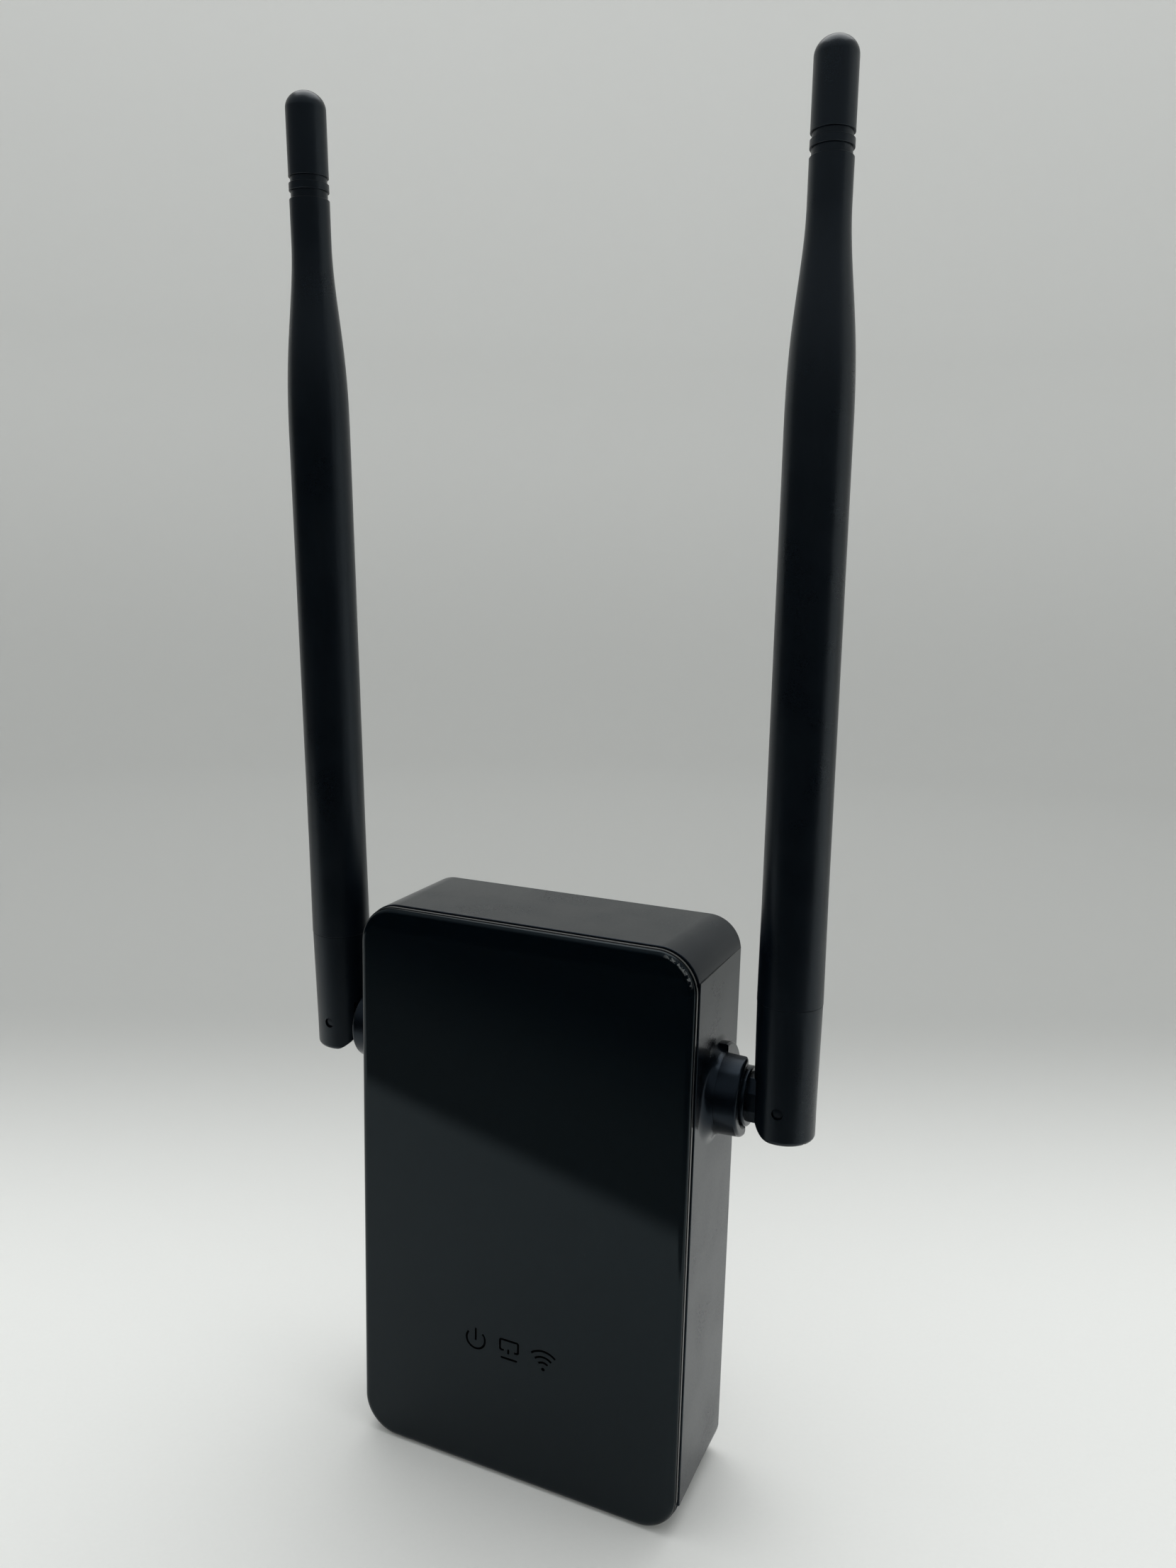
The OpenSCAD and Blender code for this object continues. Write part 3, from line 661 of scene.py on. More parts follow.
NICKEL = finish_of("nickel_blade", (0.66, 0.63, 0.57), 0.26, grain=0.3, grain_depth=0.002, metallic=1,
                   stretch=(1, 0.06, 1))
ALUMINIUM = finish_of("drawn_aluminium", (0.72, 0.73, 0.74), 0.36, grain=0.3, metallic=1,
                      stretch=(1, 1, 0.05))
GOLD = finish_of("gold_contact", (0.83, 0.62, 0.28), 0.22, grain=0.3, grain_depth=0.001, metallic=1)
BLACK = finish_of("moulded_black", (0.008, 0.0085, 0.0095), 0.5, grain=0.25, grain_depth=0.006)
PHOSPHOR = finish_of("led_phosphor", (0.8, 0.74, 0.42), 0.4, grain=0.15, grain_depth=0.01)
CLEAR = finish_of("frosted_guide", (0.75, 0.78, 0.8), 0.3, grain=0.2, grain_depth=0.004)
PAD = finish_of("thermal_gum", (0.32, 0.36, 0.42), 0.7, grain=0.4, grain_depth=0.02)
FERRITE = finish_of("ferrite_and_tape", (0.55, 0.4, 0.06), 0.42, grain=0.8, grain_depth=0.01)
CAN = finish_of("capacitor_sleeve", (0.02, 0.024, 0.09), 0.25, grain=0.5, grain_depth=0.003, coat=0.4)
FUSE = finish_of("fuse_body", (0.2, 0.07, 0.02), 0.4, grain=0.3)
BOARD = board_finish()

NODE_FINISH = {
    "gloss_black": BEZEL,
    "satin_black": SATIN,
    "aerial_black": AERIAL,
    "clear_plastic": CLEAR,
    "board_green": BOARD,
    "screw_steel": STEEL,
    "tin_plate": TIN,
    "nickel_blades": NICKEL,
    "heat_sink_metal": ALUMINIUM,
    "gold_contact": GOLD,
    "black_plastic": BLACK,
    "led_white": PHOSPHOR,
    "soft_pad": PAD,
    "ferrite": FERRITE,
    "cap_sleeve": CAN,
    "fuse_brown": FUSE,
}


# ---- Housing ----


def side_frame(side):
    """Places a shape built about the X axis on the swivel axis of one side."""
    return Matrix.Translation((0, 0, AXIS_Z)) @ Matrix.Diagonal((side, 1, 1, 1))


def tub_shell():
    """The open tub: rounded back edge, flat sides with a crease, and its hollow."""
    rings = [body_ring(BACK_Y - depth, inset, True, BACK_CORNER_R)
             for depth, inset in reversed(ease(TUB_EDGE, 6))]
    rings += [body_ring(TUB_FRONT + depth, inset, True) for depth, inset in ease(RIM_EDGE, 3)]
    rings += [body_ring(TUB_FRONT, WALL), body_ring(TUB_FLOOR, WALL)]
    return loft(rings)


def half_disc_ring(x, radius, inset):
    """Outline of the boss's front half at one place along X."""
    flat = -inset
    reach = math.degrees(math.asin((BOSS_CORNER - flat) / radius))
    outline = [(y, z) for z, y in arc(0, 0, radius, 180 + reach, 360 - reach, 40)]
    flat_z = radius * math.cos(math.radians(reach)) - BOSS_CORNER
    return [(x, y, z) for y, z in outline + [(flat, flat_z), (flat, -flat_z)]]


def boss_parts(side):
    """What stands proud of one side wall: the flared root, the flange and the boss's front half."""
    matrix = side_frame(side)
    inside = SIDE_X - WALL / 2
    flare = [(0, inside), (FLARE_R, inside)]
    flare += [(FLARE_R + across * (FLARE_R - BOSS_R), SIDE_X + FLARE_T + up * FLARE_T)
              for across, up in arc(0, 0, 1, 270, 180, 10)]
    flare += [(0, SIDE_X + FLARE_T)]
    flange = [(0, inside), (FLANGE_R, inside)]
    flange += [(FLANGE_R - inset, FLANGE_END - depth) for depth, inset in ease(FLANGE_EDGE)]
    flange += [(0, FLANGE_END)]
    behind = [(0, 0), (FLANGE_STEP, -FLANGE_R), (FLANGE_R, -FLANGE_R), (FLANGE_R, FLANGE_R), (0, FLANGE_R)]
    back_part = prism(behind, inside, FLANGE_END + PAST, OUTLINE_YZ)
    rings = [half_disc_ring(inside, BOSS_R, 0)]
    rings += [half_disc_ring(BOSS_END - depth, BOSS_TOP_R - inset, inset)
              for depth, inset in ease(BOSS_EDGE, 6)]
    shapes = [
        placed(lathe(flare), ALONG_X),
        combined(placed(lathe(flange), ALONG_X), [back_part], "INTERSECT"),
        loft(rings),
    ]
    return [placed(shape, matrix) for shape in shapes]


def vents():
    """Four groups of round-ended slots in the back."""
    slots = []
    for x in VENT_X:
        for start in VENT_Z:
            for row in range(VENT_ROWS):
                outline = rounded_rect(VENT_W, VENT_H, VENT_R, x, start + row * VENT_PITCH, steps=5)
                slots.append(prism(outline, TUB_FLOOR - PAST / 2, BACK_Y + PAST / 2, OUTLINE_XZ))
    return slots


def along_y(radius, x, z, start, end, segments=40):
    """A bar along Y."""
    return round_bar(radius, start, end, Matrix.Translation((x, 0, z)) @ ALONG_Y, segments)


COLUMNS = [(x, z) for x in (-COLUMN_X, COLUMN_X) for z in COLUMN_Z]


def rear_housing():
    """The tub with its bosses and screw columns, and every opening in it."""
    posts = [along_y(COLUMN_R, x, z, COLUMN_Y, TUB_FLOOR + PAST / 2) for x, z in COLUMNS]
    bosses = [part for side in (-1, 1) for part in boss_parts(side)]
    shell = combined(tub_shell(), posts + bosses, "UNION")
    cuts = [merged(vents())]
    for x, z in COLUMNS:
        cuts.append(along_y(COLUMN_BORE, x, z, COLUMN_Y - PAST, BACK_Y + PAST))
        cuts.append(along_y(SCREW_HEAD_BORE, x, z, SCREW_SEAT, BACK_Y + PAST))
    for side in (-1, 1):
        matrix = side_frame(side) @ ALONG_X
        cuts.append(round_bar(COLLAR_R + COLLAR_GAP, FLANGE_END, BOSS_END + PAST, matrix))
        cuts.append(round_bar(SHAFT_R + SLIP, SIDE_X - WALL - PAST, FLANGE_END + PAST, matrix))
    plug = rounded_rect(PLUG_W, PLUG_H, PLUG_R, 0, PLUG_Z, 4)
    cuts.append(prism(plug, TUB_FLOOR - PAST, BACK_Y + PAST, OUTLINE_XZ))
    jack = [(JACK_X - JACK_W / 2, JACK_Y[0]), (JACK_X + JACK_W / 2, JACK_Y[0]),
            (JACK_X + JACK_W / 2, JACK_Y[1]), (JACK_X - JACK_W / 2, JACK_Y[1])]
    cuts.append(prism(jack, -PAST, WALL + PAST))
    button = Matrix.Translation((0, BUTTON_Y, BUTTON_Z)) @ ALONG_X
    reset = Matrix.Translation((0, BUTTON_Y, RESET_Z)) @ ALONG_X
    cuts.append(round_bar(BUTTON_R + SLIP, -SIDE_X - PAST, WALL + PAST - SIDE_X, button))
    cuts.append(round_bar(RESET_R, -SIDE_X - PAST, WALL + PAST - SIDE_X, reset, 32))
    return combined(shell, cuts, "DIFFERENCE")


piece("housing_tub", rear_housing(), "housing", SATIN, ["rear_housing"])


# ---- Front panel ----


def ring_sector(radius, line, start, end, steps):
    """Outline of a stroke that follows an arc."""
    return arc(0, 0, radius + line / 2, start, end, steps) + arc(0, 0, radius - line / 2, end, start, steps)


def power_strokes():
    """A ring that is open at the top, and a bar in the opening."""
    ring = ring_sector(POWER_R, ICON_LINE, 142, 403, 48)
    bar = rounded_rect(ICON_LINE, 2.6, 0.12, 0, 1, 2)
    return [(ring, 0), (bar, 0)]


def link_strokes():
    """A screen that is open below, its stem and its foot."""
    half_w = SCREEN_W / 2
    top = SCREEN_TOP
    bottom = SCREEN_LOW
    gap = SCREEN_GAP / 2
    corner = SCREEN_CORNER
    inner_w = half_w - ICON_LINE
    inner_top = top - ICON_LINE
    inner_bottom = bottom + ICON_LINE
    inner_r = corner - ICON_LINE * 0.7
    outer = [(gap, bottom), *arc(half_w - corner, bottom + corner, corner, -90, 0, 5),
             *arc(half_w - corner, top - corner, corner, 0, 90, 5),
             *arc(corner - half_w, top - corner, corner, 90, 180, 5),
             *arc(corner - half_w, bottom + corner, corner, 180, 270, 5), (-gap, bottom)]
    inner = [(-gap, inner_bottom), *arc(inner_r - inner_w, inner_bottom + inner_r, inner_r, 270, 180, 3),
             *arc(inner_r - inner_w, inner_top - inner_r, inner_r, 180, 90, 3),
             *arc(inner_w - inner_r, inner_top - inner_r, inner_r, 90, 0, 3),
             *arc(inner_w - inner_r, inner_bottom + inner_r, inner_r, 0, -90, 3), (gap, inner_bottom)]
    stem = rounded_rect(ICON_LINE, 1, 0.1, -0.14, -0.6, 2)
    foot = rounded_rect(3.5, ICON_LINE, 0.1, 0, -2.07, 2)
    return [(outer + inner, 0), (stem, 0), (foot, 0)]


def signal_strokes():
    """Three arcs over a dot."""
    strokes = [(arc(0, 0, SIGNAL_DOT_R, 0, 345, 23), SIGNAL_LOW)]
    for radius in SIGNAL_RADII:
        strokes.append((ring_sector(radius, ICON_LINE, 48, 132, 20), SIGNAL_LOW))
    return strokes


def icon_cutters():
    """What engraves the three icons."""
    cutters = []
    for x, strokes in zip(ICON_X, (power_strokes(), link_strokes(), signal_strokes())):
        for outline, lift in strokes:
            moved = [(x + px, ICON_Z + lift + pz) for px, pz in outline]
            cutters.append(prism(moved, FRONT_Y - PAST / 2, FRONT_Y + ICON_DEPTH, OUTLINE_XZ))
    return merged(cutters)


def front_panel():
    """The panel: a small bevel at its back, a rounded front edge and the engraved icons."""
    bevel = 0.06
    steps = 8
    rings = [body_ring(PANEL_BACK, PANEL_INSET + bevel), body_ring(PANEL_BACK - bevel, PANEL_INSET)]
    for i in range(steps + 1):
        angle = math.radians(90 * i / steps)
        rings.append(body_ring(FRONT_Y + PANEL_RISE * (1 - math.sin(angle)),
                               PANEL_INSET + PANEL_EDGE * (1 - math.cos(angle))))
    return combined(loft(rings), [icon_cutters()], "DIFFERENCE")


def in_icon(centre):
    """Whether a face with this centre, in metres, is the floor or a wall of an engraved icon."""
    x, y, z = centre / MM
    reach_x, reach_z = ICON_REACH
    engraved = FRONT_Y + ICON_DEPTH * 0.2 < y < PANEL_BACK - 0.3
    return engraved and abs(x) < reach_x and abs(z - ICON_Z) < reach_z


panel = piece("mirror_panel", front_panel(), "housing", GLOSS, ["front_panel"])
panel.data.materials.append(ICON)
for face in panel.data.polygons:
    if in_icon(face.center):
        face.material_index = 1


# ---- Bezel behind the panel ----


def front_bezel():
    """Ring with a thin lip and a deep dark groove, its plate, skirt and screw posts."""
    lip_front, lip_back = PANEL_BACK, PANEL_BACK + LIP_T
    rings = [body_ring(lip_front, LIP_INSET + LIP_EDGE), body_ring(lip_front + LIP_EDGE, LIP_INSET),
             body_ring(lip_back - LIP_EDGE, LIP_INSET), body_ring(lip_back, LIP_INSET + LIP_EDGE),
             body_ring(lip_back, GROOVE_INSET), body_ring(TUB_FRONT, GROOVE_INSET),
             body_ring(TUB_FRONT, WALL + SLIP), body_ring(SKIRT_BACK, WALL + SLIP),
             body_ring(SKIRT_BACK, WALL + SLIP + SKIRT_T), body_ring(PLATE_BACK, WALL + SLIP + SKIRT_T)]
    post_start = PLATE_BACK - PAST / 2
    posts = [along_y(COLUMN_R, x, z, post_start, COLUMN_Y) for x, z in COLUMNS]
    posts += [along_y(BOARD_POST_R, x, z, post_start, BOARD_FRONT) for x, z in BOARD_POSTS]
    cuts = [along_y(SCREW_R, x, z, COLUMN_Y - CASE_PILOT, COLUMN_Y + PAST) for x, z in COLUMNS]
    cuts += [along_y(SCREW_R, x, z, BOARD_FRONT - BOARD_PILOT, BOARD_FRONT + PAST) for x, z in BOARD_POSTS]
    for x in ICON_X:
        window = rounded_rect(GUIDE_W, GUIDE_W, 0.1, x, ICON_Z, 2)
        cuts.append(prism(window, PANEL_BACK - PAST, PLATE_BACK + PAST, OUTLINE_XZ))
    jack = rounded_rect(JACK_W + 2, JACK_NOTCH_H, 0.2, JACK_X, JACK_NOTCH_H / 2, 2)
    cuts.append(prism(jack, PLATE_BACK, SKIRT_BACK + PAST, OUTLINE_XZ))
    return combined(combined(loft(rings), posts, "UNION"), cuts, "DIFFERENCE")


piece("bezel_ring", front_bezel(), "housing", BEZEL, ["front_bezel"])


# ---- Back: plug and screws ----


def plug_outline(inset):
    """The plug block's outline, in X and Z."""
    width = PLUG_W - PLUG_SLIP - 2 * inset
    height = PLUG_H - PLUG_SLIP - 2 * inset
    return rounded_rect(width, height, max(0.1, PLUG_R - inset), 0, PLUG_Z, 4)


def plug_insert():
    """The block that holds the blades, with a rounded outer edge."""
    rings = [[(x, PLUG_INNER, z) for x, z in plug_outline(0)]]
    for depth, inset in ease(PLUG_EDGE):
        rings.append([(x, BACK_Y - depth, z) for x, z in plug_outline(inset)])
    slots = [rounded_rect(BLADE_T + 0.1, BLADE_W + 0.1, 0.1, x * BLADE_PITCH / 2, PLUG_Z, 2)
             for x in (-1, 1)]
    cuts = [prism(slot, PLUG_INNER - PAST, BACK_Y + PAST, OUTLINE_XZ) for slot in slots]
    return combined(loft(rings), cuts, "DIFFERENCE")


def plug_blade(x):
    """A flat blade with a bevelled tip and its locking hole."""
    half = BLADE_W / 2
    taper_start = BLADE_END - BLADE_TIP
    outline = softened([(BLADE_START, -half), (taper_start, -half), (BLADE_END, -half + 1),
                        (BLADE_END, half - 1), (taper_start, half), (BLADE_START, half)], 0.3)
    middle = sum(y for y, z in outline) / len(outline)
    half_length = 12
    edge = BLADE_EDGE
    rings = []
    for lift, inset in ((0, edge), (edge, 0), (BLADE_T - edge, 0), (BLADE_T, edge)):
        shrunk = [(middle + (y - middle) * (1 - inset / half_length), z * (1 - inset / half))
                  for y, z in outline]
        rings.append([(x - BLADE_T / 2 + lift, y, PLUG_Z + z) for y, z in shrunk])
    hole = Matrix.Translation((x, BLADE_HOLE_Y, PLUG_Z)) @ ALONG_X
    return combined(loft(rings), [round_bar(BLADE_HOLE_R, -BLADE_T, BLADE_T, hole, 40)], "DIFFERENCE")


def pairing_button():
    """A round button: its rounded face, the flange behind the wall and its stem."""
    flange_x = WALL + 0.05 - SIDE_X
    stem_x = WALL + 0.82 - SIDE_X
    face_x = -SIDE_X - BUTTON_RISE
    profile = [(0, face_x)]
    profile += [(BUTTON_R - inset, face_x + depth) for depth, inset in reversed(ease(0.35))]
    profile += [(BUTTON_R, flange_x), (BUTTON_R + BUTTON_FLANGE, flange_x),
                (BUTTON_R + BUTTON_FLANGE, stem_x), (BUTTON_STEM_R, stem_x),
                (BUTTON_STEM_R, BUTTON_STEM_END), (0, BUTTON_STEM_END)]
    return placed(lathe(profile, 64), Matrix.Translation((0, BUTTON_Y, BUTTON_Z)) @ ALONG_X)


piece("plug_insert", plug_insert(), "housing", BLACK, ["plug_block"])
piece("plug_blade_pair", merged([plug_blade(x * BLADE_PITCH / 2) for x in (-1, 1)]),
      "housing", NICKEL, ["plug_blades"])
piece("pairing_button", pairing_button(), "wps_button", SATIN, ["wps_button"])


# ---- Swivels and aerials ----


def turned(side):
    """What turns about the swivel axis, at its resting lean."""
    lean = Matrix.Rotation(math.radians(LEAN[side]), 4, "X")
    return Matrix.Translation((0, 0, AXIS_Z)) @ lean @ Matrix.Diagonal((side, 1, 1, 1))


def tilted(side):
    """What tilts about the hinge pin, at its resting tilt."""
    tilt = Matrix.Rotation(math.radians(TILT[side]), 4, "Y")
    return turned(side) @ Matrix.Translation((PIN_X, 0, 0)) @ tilt


def box(low, high):
    """A plain box, used only as a cutter."""
    outline = [(low[0], low[1]), (high[0], low[1]), (high[0], high[1]), (low[0], high[1])]
    return prism(outline, low[2], high[2])


def swivel():
    """Collar and shaft, with the tongue that the aerial hinges on."""
    profile = [(0, SHAFT_END), (SHAFT_R - SHAFT_EDGE, SHAFT_END), (SHAFT_R, SHAFT_END + SHAFT_EDGE),
               (SHAFT_R, CLIP_X), (CLIP_GROOVE_R, CLIP_X), (CLIP_GROOVE_R, CLIP_X + CLIP_T),
               (SHAFT_R, CLIP_X + CLIP_T), (SHAFT_R, COLLAR_START)]
    profile += [(COLLAR_R - inset, COLLAR_START + depth)
                for depth, inset in reversed(ease(COLLAR_INNER_EDGE))]
    profile += [(COLLAR_R - inset, COLLAR_END - depth) for depth, inset in ease(COLLAR_EDGE)]
    profile += [(0, COLLAR_END)]
    body = placed(lathe(profile), ALONG_X)
    y, z = NECK_W / 2, NECK_H / 2
    section = softened([(-y, -NECK_EDGE), (-y, NECK_EDGE), (NECK_CUT - y, z), (y - NECK_CUT, z),
                        (y, NECK_EDGE), (y, -NECK_EDGE), (y - NECK_CUT, -z), (NECK_CUT - y, -z)], NECK_SOFT)
    tongue = prism(section, COLLAR_END - PAST / 2, PIN_X + z, OUTLINE_YZ)
    nose = [(COLLAR_END - PAST, -z), *arc(PIN_X, 0, z, -90, 90, 40), (COLLAR_END - PAST, z)]
    tongue = combined(tongue, [prism(nose, -NECK_W, NECK_W, OUTLINE_XZ)], "INTERSECT")
    body = combined(body, [tongue], "UNION")
    cuts = [
        round_bar(COAX_BORE, SHAFT_END - PAST, PIN_X, ALONG_X, 40),
        box((PIN_X - COAX_BORE, -COAX_BORE, -COAX_BORE), (PIN_X + NECK_H, COAX_BORE, NECK_H)),
        along_y(PIN_R + SLIP, PIN_X, 0, -NECK_W, NECK_W),
    ]
    return combined(body, cuts, "DIFFERENCE")


def aerial_base():
    """Lower shell: its foot is round on the inner side, with the slot for the tongue."""
    spigot_top = BASE_TOP + SPIGOT_H
    profile = [(0, FOOT_LOW)]
    profile += [(AERIAL_R - inset, FOOT_LOW + depth) for depth, inset in reversed(ease(FOOT_EDGE, 8))]
    profile += [(AERIAL_R, 0), (SEAM_R, BASE_TOP - SEAM_EDGE), (SEAM_R - SEAM_EDGE, BASE_TOP),
                (SPIGOT_R, BASE_TOP), (SPIGOT_R, spigot_top - SPIGOT_EDGE),
                (SPIGOT_R - SPIGOT_EDGE, spigot_top), (0, spigot_top)]
    top = spigot_top + PAST
    low = FOOT_LOW - PAST
    wide = SEAM_R + PAST
    inner = [(x, z * -FOOT_LOW / AERIAL_R) for x, z in arc(0, 0, AERIAL_R, 180, 270, 24)]
    foot = [(-wide, top), (-wide, 0), *inner, (0, low), (wide, low), (wide, top)]
    body = combined(lathe(profile), [prism(foot, -wide, wide, OUTLINE_XZ)], "INTERSECT")
    far = 2 * AERIAL_R
    slot = [(-far, SLOT_R), *arc(0, 0, SLOT_R, 90, 0, 24), (SLOT_R, -far), (-far, -far)]
    half = NECK_W / 2 + CHEEK_GAP
    cuts = [
        prism(slot, -half, half, OUTLINE_XZ),
        along_y(PIN_R, 0, 0, -far, far),
        round_bar(BASE_BORE, SLOT_R - PAST, top),
    ]
    return combined(body, cuts, "DIFFERENCE")


def taper(share):
    """Radius along the taper, which starts gently and ends in a tighter curve."""
    return SHOULDER_R + (TIP_R - SHOULDER_R) * (1 - math.cos(math.pi * share ** 1.4)) / 2


def aerial_sleeve():
    """The aerial's tapered tube, hollow."""
    steps = 40
    outer = [(SLEEVE_R - SEAM_EDGE, BASE_TOP), (SLEEVE_R, BASE_TOP + SEAM_EDGE), (STRAIGHT_R, STRAIGHT_Z)]
    outer += [(taper(i / steps), SHOULDER_Z + (NECK_Z - SHOULDER_Z) * i / steps) for i in range(steps + 1)]
    outer += [(TIP_R, SLEEVE_TOP - SEAM_EDGE), (TIP_R - SEAM_EDGE, SLEEVE_TOP)]
    inner = [(radius - SLEEVE_WALL, height) for radius, height in reversed(outer)]
    inner[0] = (TIP_R - SLEEVE_WALL, SLEEVE_TOP)
    inner[-1] = (SLEEVE_R - SLEEVE_WALL, BASE_TOP)
    return lathe(outer + inner, closed=True)


def aerial_cap():
    """Tip: a ring between two grooves and a domed end."""
    spigot = TIP_R - SLEEVE_WALL - CAP_SLIP
    low = SLEEVE_TOP - CAP_SPIGOT_H
    edge = SEAM_EDGE
    profile = [(0, low), (spigot, low), (spigot, SLEEVE_TOP), (GROOVE_R, SLEEVE_TOP),
               (GROOVE_R, RING_Z[0]), (TIP_R - edge, RING_Z[0]), (TIP_R, RING_Z[0] + edge),
               (TIP_R, RING_Z[1] - edge), (TIP_R - edge, RING_Z[1]), (GROOVE_R, RING_Z[1]),
               (GROOVE_R, CAP_Z), (TIP_R - edge, CAP_Z), (TIP_R, CAP_Z + edge)]
    profile += [(x, AERIAL_LEN - DOME_H + z * DOME_H / TIP_R) for x, z in arc(0, 0, TIP_R, 0, 90, 20)[:-1]]
    return lathe(profile + [(0, AERIAL_LEN)])


def hinge_pins():
    """Two short pins. The front one's domed end sits at the bottom of its dimple."""
    pins = []
    radius = PIN_R - PIN_SLIP
    end = AERIAL_R - DIMPLE
    dome = [(radius, end - 0.25), (radius * 0.9, end - 0.08), (radius * 0.5, end - 0.02), (0, end)]
    for side in (-1, 1):
        matrix = Matrix.Diagonal((1, side, 1, 1)) @ ALONG_Y
        pins.append(placed(lathe([(0, PIN_INNER), (radius, PIN_INNER), *dome], 48), matrix))
    return merged(pins)


for side, name in ((1, "right"), (-1, "left")):
    arm = name + "_swivel"
    aerial = name + "_aerial"
    piece(name + "_tongue", placed(swivel(), turned(side)), arm, SATIN, [arm])
    for part, shape, node in (("_foot", aerial_base, "_base"), ("_tube", aerial_sleeve, "_sleeve"),
                              ("_tip", aerial_cap, "_cap")):
        piece(aerial + part, placed(shape(), tilted(side)), aerial, AERIAL, [aerial + node])
    piece(name + "_pins", placed(hinge_pins(), tilted(side)), aerial, AERIAL,
          [name + "_hinge_pins"])


# ---- Carried-over nodes ----

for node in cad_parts.values():
    if node.hide_render:
        continue
    for material_slot in node.material_slots:
        key = material_slot.material.name if material_slot.material else ""
        material_slot.material = NODE_FINISH.get(key, BLACK)


# ---- Studio, in metres ----

CAMERA_PLACE = (0.0910, -0.1883, 0.1698)
CAMERA_YAW = math.radians(23.98)
CAMERA_PITCH = math.radians(9.76)
CAMERA_ROLL = math.radians(1.37)
CAMERA_LENS = 26.714

# The paper bowl, and its colours: white, then grey painted shade past PAPER_TURN along PAPER_FACING, paler
# with height as painted light from above
FLOOR_R = 0.9
SWEEP_R = 0.45
WALL_TOP = 1.7
BOWL_SEGMENTS = 96
PAPER_FACING = math.radians(26.2)
PAPER_TURN = (0.03, 0.245)
PAPER_WHITE = (0.86, 0.865, 0.85)
PAPER_SHADE_LOW = (0.445, 0.45, 0.44)
PAPER_SHADE_HIGH = (0.65, 0.655, 0.645)
PAPER_RISE = 0.5

# In reflections the paper ends at FRONT_CUT, and a card goes on from there, pale and then dark
FRONT_CUT = -0.085
CARD_HALF_W = 0.5
CARD_END = -0.3
CARD_OVERLAP = 0.003
CARD_LIFT = 0.0004
CARD_TURN = math.radians(18.4)
CARD_EDGE = (0.096, 0.108)
CARD_FADE = (0.12, 0.22)
CARD_TABLE = (0.21, 0.21, 0.2)
CARD_DARK = (0.02, 0.02, 0.02)

# One soft ceiling light, and a dark room that glows above and below: (start, end, strength) by direction
LIGHT_PLACE = (-0.1, 0.35, 1.6)
LIGHT_SIZE = (1.7, 1.5)
LIGHT_POWER = 15.8
LIGHT_TINT = (1, 0.998, 0.985)
ROOM_TINT = (0.93, 0.97, 1)
ROOM_DARK = 0.006
ROOM_GLOW = ((0.0, 0.6, 0.5), (-0.3, -0.55, 0.22))

sweep = [(0, 0), (FLOOR_R, 0)]
sweep += arc(FLOOR_R, SWEEP_R, SWEEP_R, -90, 0, 16)[1:]
sweep += [(FLOOR_R + SWEEP_R, WALL_TOP)]


def stage_part(name, keep_front, material):
    """The paper bowl behind or in front of the line where the floor's reflection ends."""
    bm = bmesh.new()
    turns = [2 * math.pi * i / BOWL_SEGMENTS for i in range(BOWL_SEGMENTS)]
    rings = [[bm.verts.new((0, 0, 0))]]
    for radius, height in sweep[1:]:
        rings.append([bm.verts.new((radius * math.cos(a), radius * math.sin(a), height)) for a in turns])
    for low, high in zip(rings, rings[1:]):
        for i in range(BOWL_SEGMENTS):
            corners = [low[(i - 1) % len(low)], high[i - 1], high[i], low[i % len(low)]]
            bm.faces.new(list(dict.fromkeys(corners)))
    bmesh.ops.bisect_plane(bm, geom=bm.verts[:] + bm.edges[:] + bm.faces[:], plane_co=(0, FRONT_CUT, 0),
                           plane_no=(0, 1, 0), clear_inner=not keep_front, clear_outer=keep_front)
    for face in bm.faces:
        face.smooth = True
    obj = as_object(bm, name)
    obj.data.materials.append(material)
    return obj


paper = stage_finish()
stage_part("paper_back", False, paper)
front_paper = stage_part("paper_front", True, paper)
front_paper.visible_glossy = False

card_start = FRONT_CUT + CARD_OVERLAP
card_bm = bmesh.new()
card_bm.faces.new([card_bm.verts.new((x, y, CARD_LIFT)) for x, y in (
    (-CARD_HALF_W, card_start), (-CARD_HALF_W, CARD_END),
    (CARD_HALF_W, CARD_END), (CARD_HALF_W, card_start))])
card = as_object(card_bm, "reflected_card")
card.data.materials.append(card_finish())
card.visible_camera = False
card.visible_diffuse = False
card.visible_shadow = False


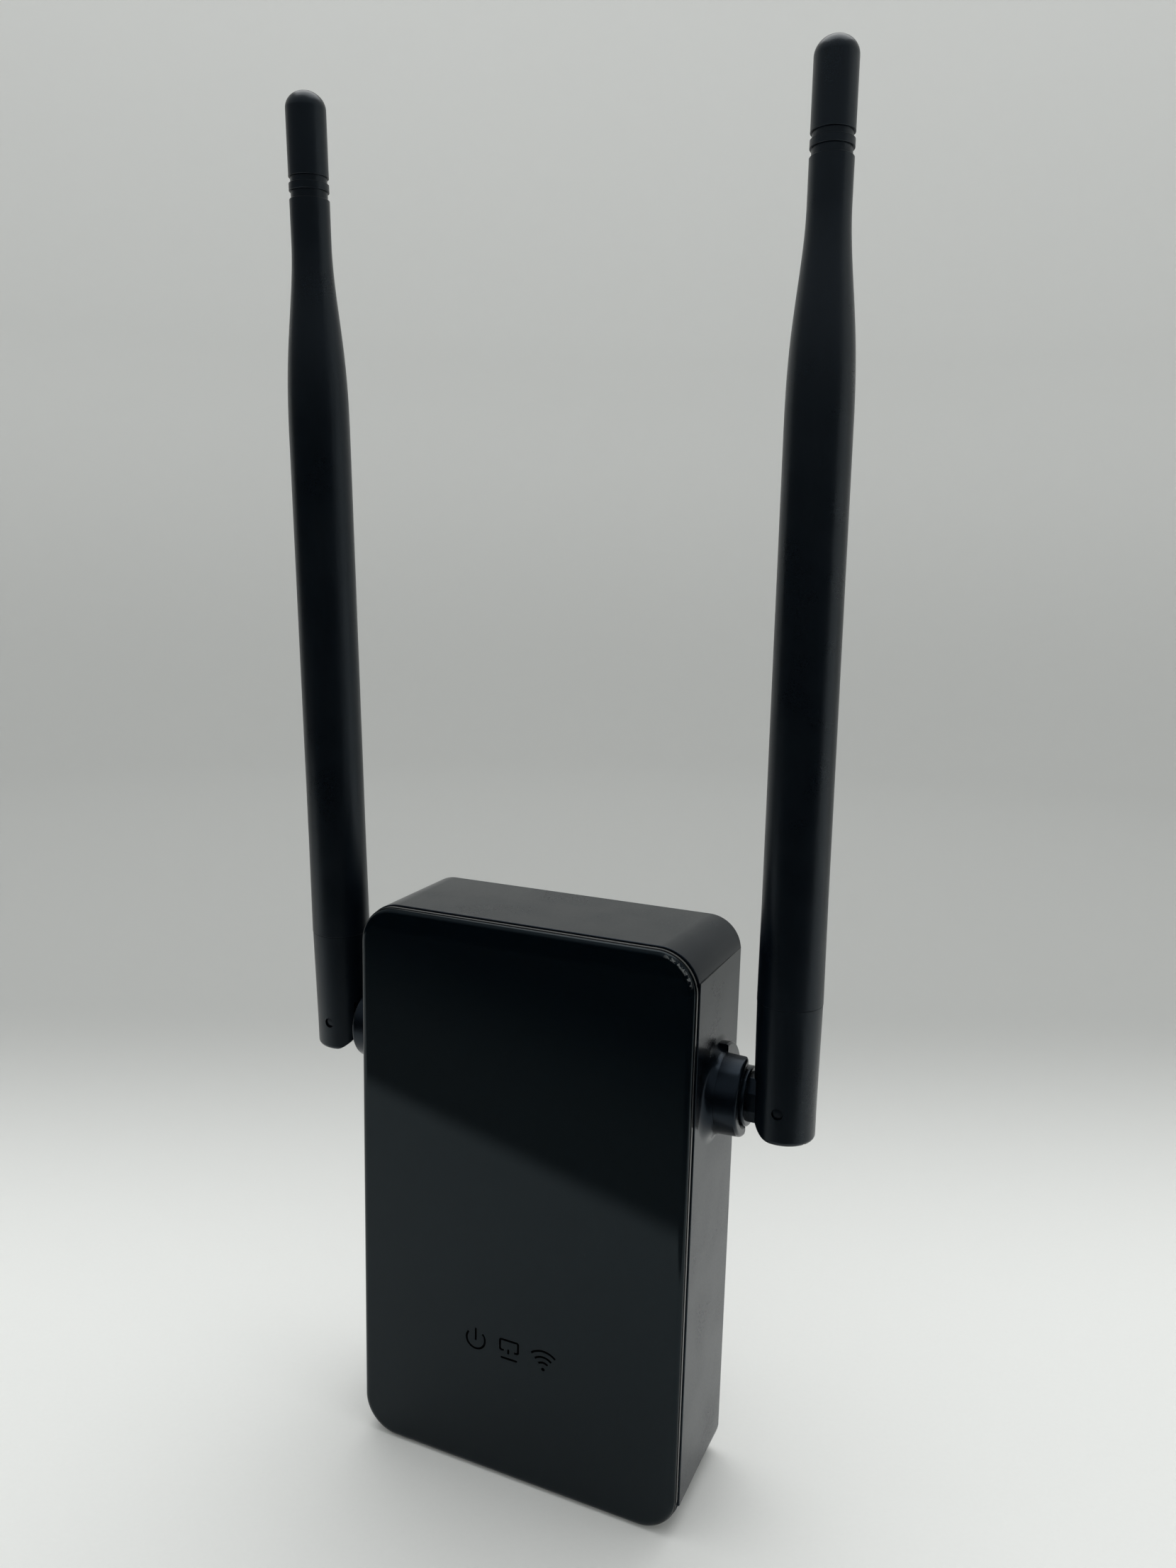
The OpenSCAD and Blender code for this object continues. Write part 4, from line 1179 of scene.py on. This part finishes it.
light_data = bpy.data.lights.new("ceiling", "AREA")
light_data.shape = "RECTANGLE"
light_data.size, light_data.size_y = LIGHT_SIZE
light_data.energy = LIGHT_POWER
light_data.color = LIGHT_TINT
light = bpy.data.objects.new("ceiling", light_data)
light.location = LIGHT_PLACE
light.rotation_euler = (-Vector(LIGHT_PLACE)).to_track_quat("-Z", "Y").to_euler()
bpy.context.scene.collection.objects.link(light)

world = bpy.data.worlds.new("room")
bpy.context.scene.world = world
world.use_nodes = True
sky = world.node_tree
direction = sky.nodes.new("ShaderNodeTexCoord")
split = sky.nodes.new("ShaderNodeSeparateXYZ")
sky.links.new(direction.outputs["Generated"], split.inputs["Vector"])
strength = None
for start, end, value in ROOM_GLOW:
    rise = sky.nodes.new("ShaderNodeMapRange")
    rise.interpolation_type = "SMOOTHSTEP"
    rise.inputs["From Min"].default_value = start
    rise.inputs["From Max"].default_value = end
    rise.inputs["To Min"].default_value = ROOM_DARK
    rise.inputs["To Max"].default_value = value
    sky.links.new(split.outputs["Z"], rise.inputs["Value"])
    if strength is None:
        strength = rise.outputs["Result"]
        continue
    both = sky.nodes.new("ShaderNodeMath")
    sky.links.new(strength, both.inputs[0])
    sky.links.new(rise.outputs["Result"], both.inputs[1])
    strength = both.outputs["Value"]
sky.links.new(strength, sky.nodes["Background"].inputs["Strength"])
sky.nodes["Background"].inputs["Color"].default_value = (*ROOM_TINT, 1)

camera_data = bpy.data.cameras.new("camera")
camera_data.sensor_fit = "AUTO"
camera_data.sensor_width = 36
camera_data.lens = CAMERA_LENS
camera_data.clip_start = 0.01
camera_data.clip_end = 20
camera = bpy.data.objects.new("camera", camera_data)
bpy.context.scene.collection.objects.link(camera)
camera.matrix_world = (
    Matrix.Translation(CAMERA_PLACE)
    @ Matrix.Rotation(CAMERA_YAW, 4, "Z")
    @ Matrix.Rotation(math.radians(90) - CAMERA_PITCH, 4, "X")
    @ Matrix.Rotation(CAMERA_ROLL, 4, "Z")
)
bpy.context.scene.camera = camera
bpy.context.scene.view_settings.view_transform = "Standard"
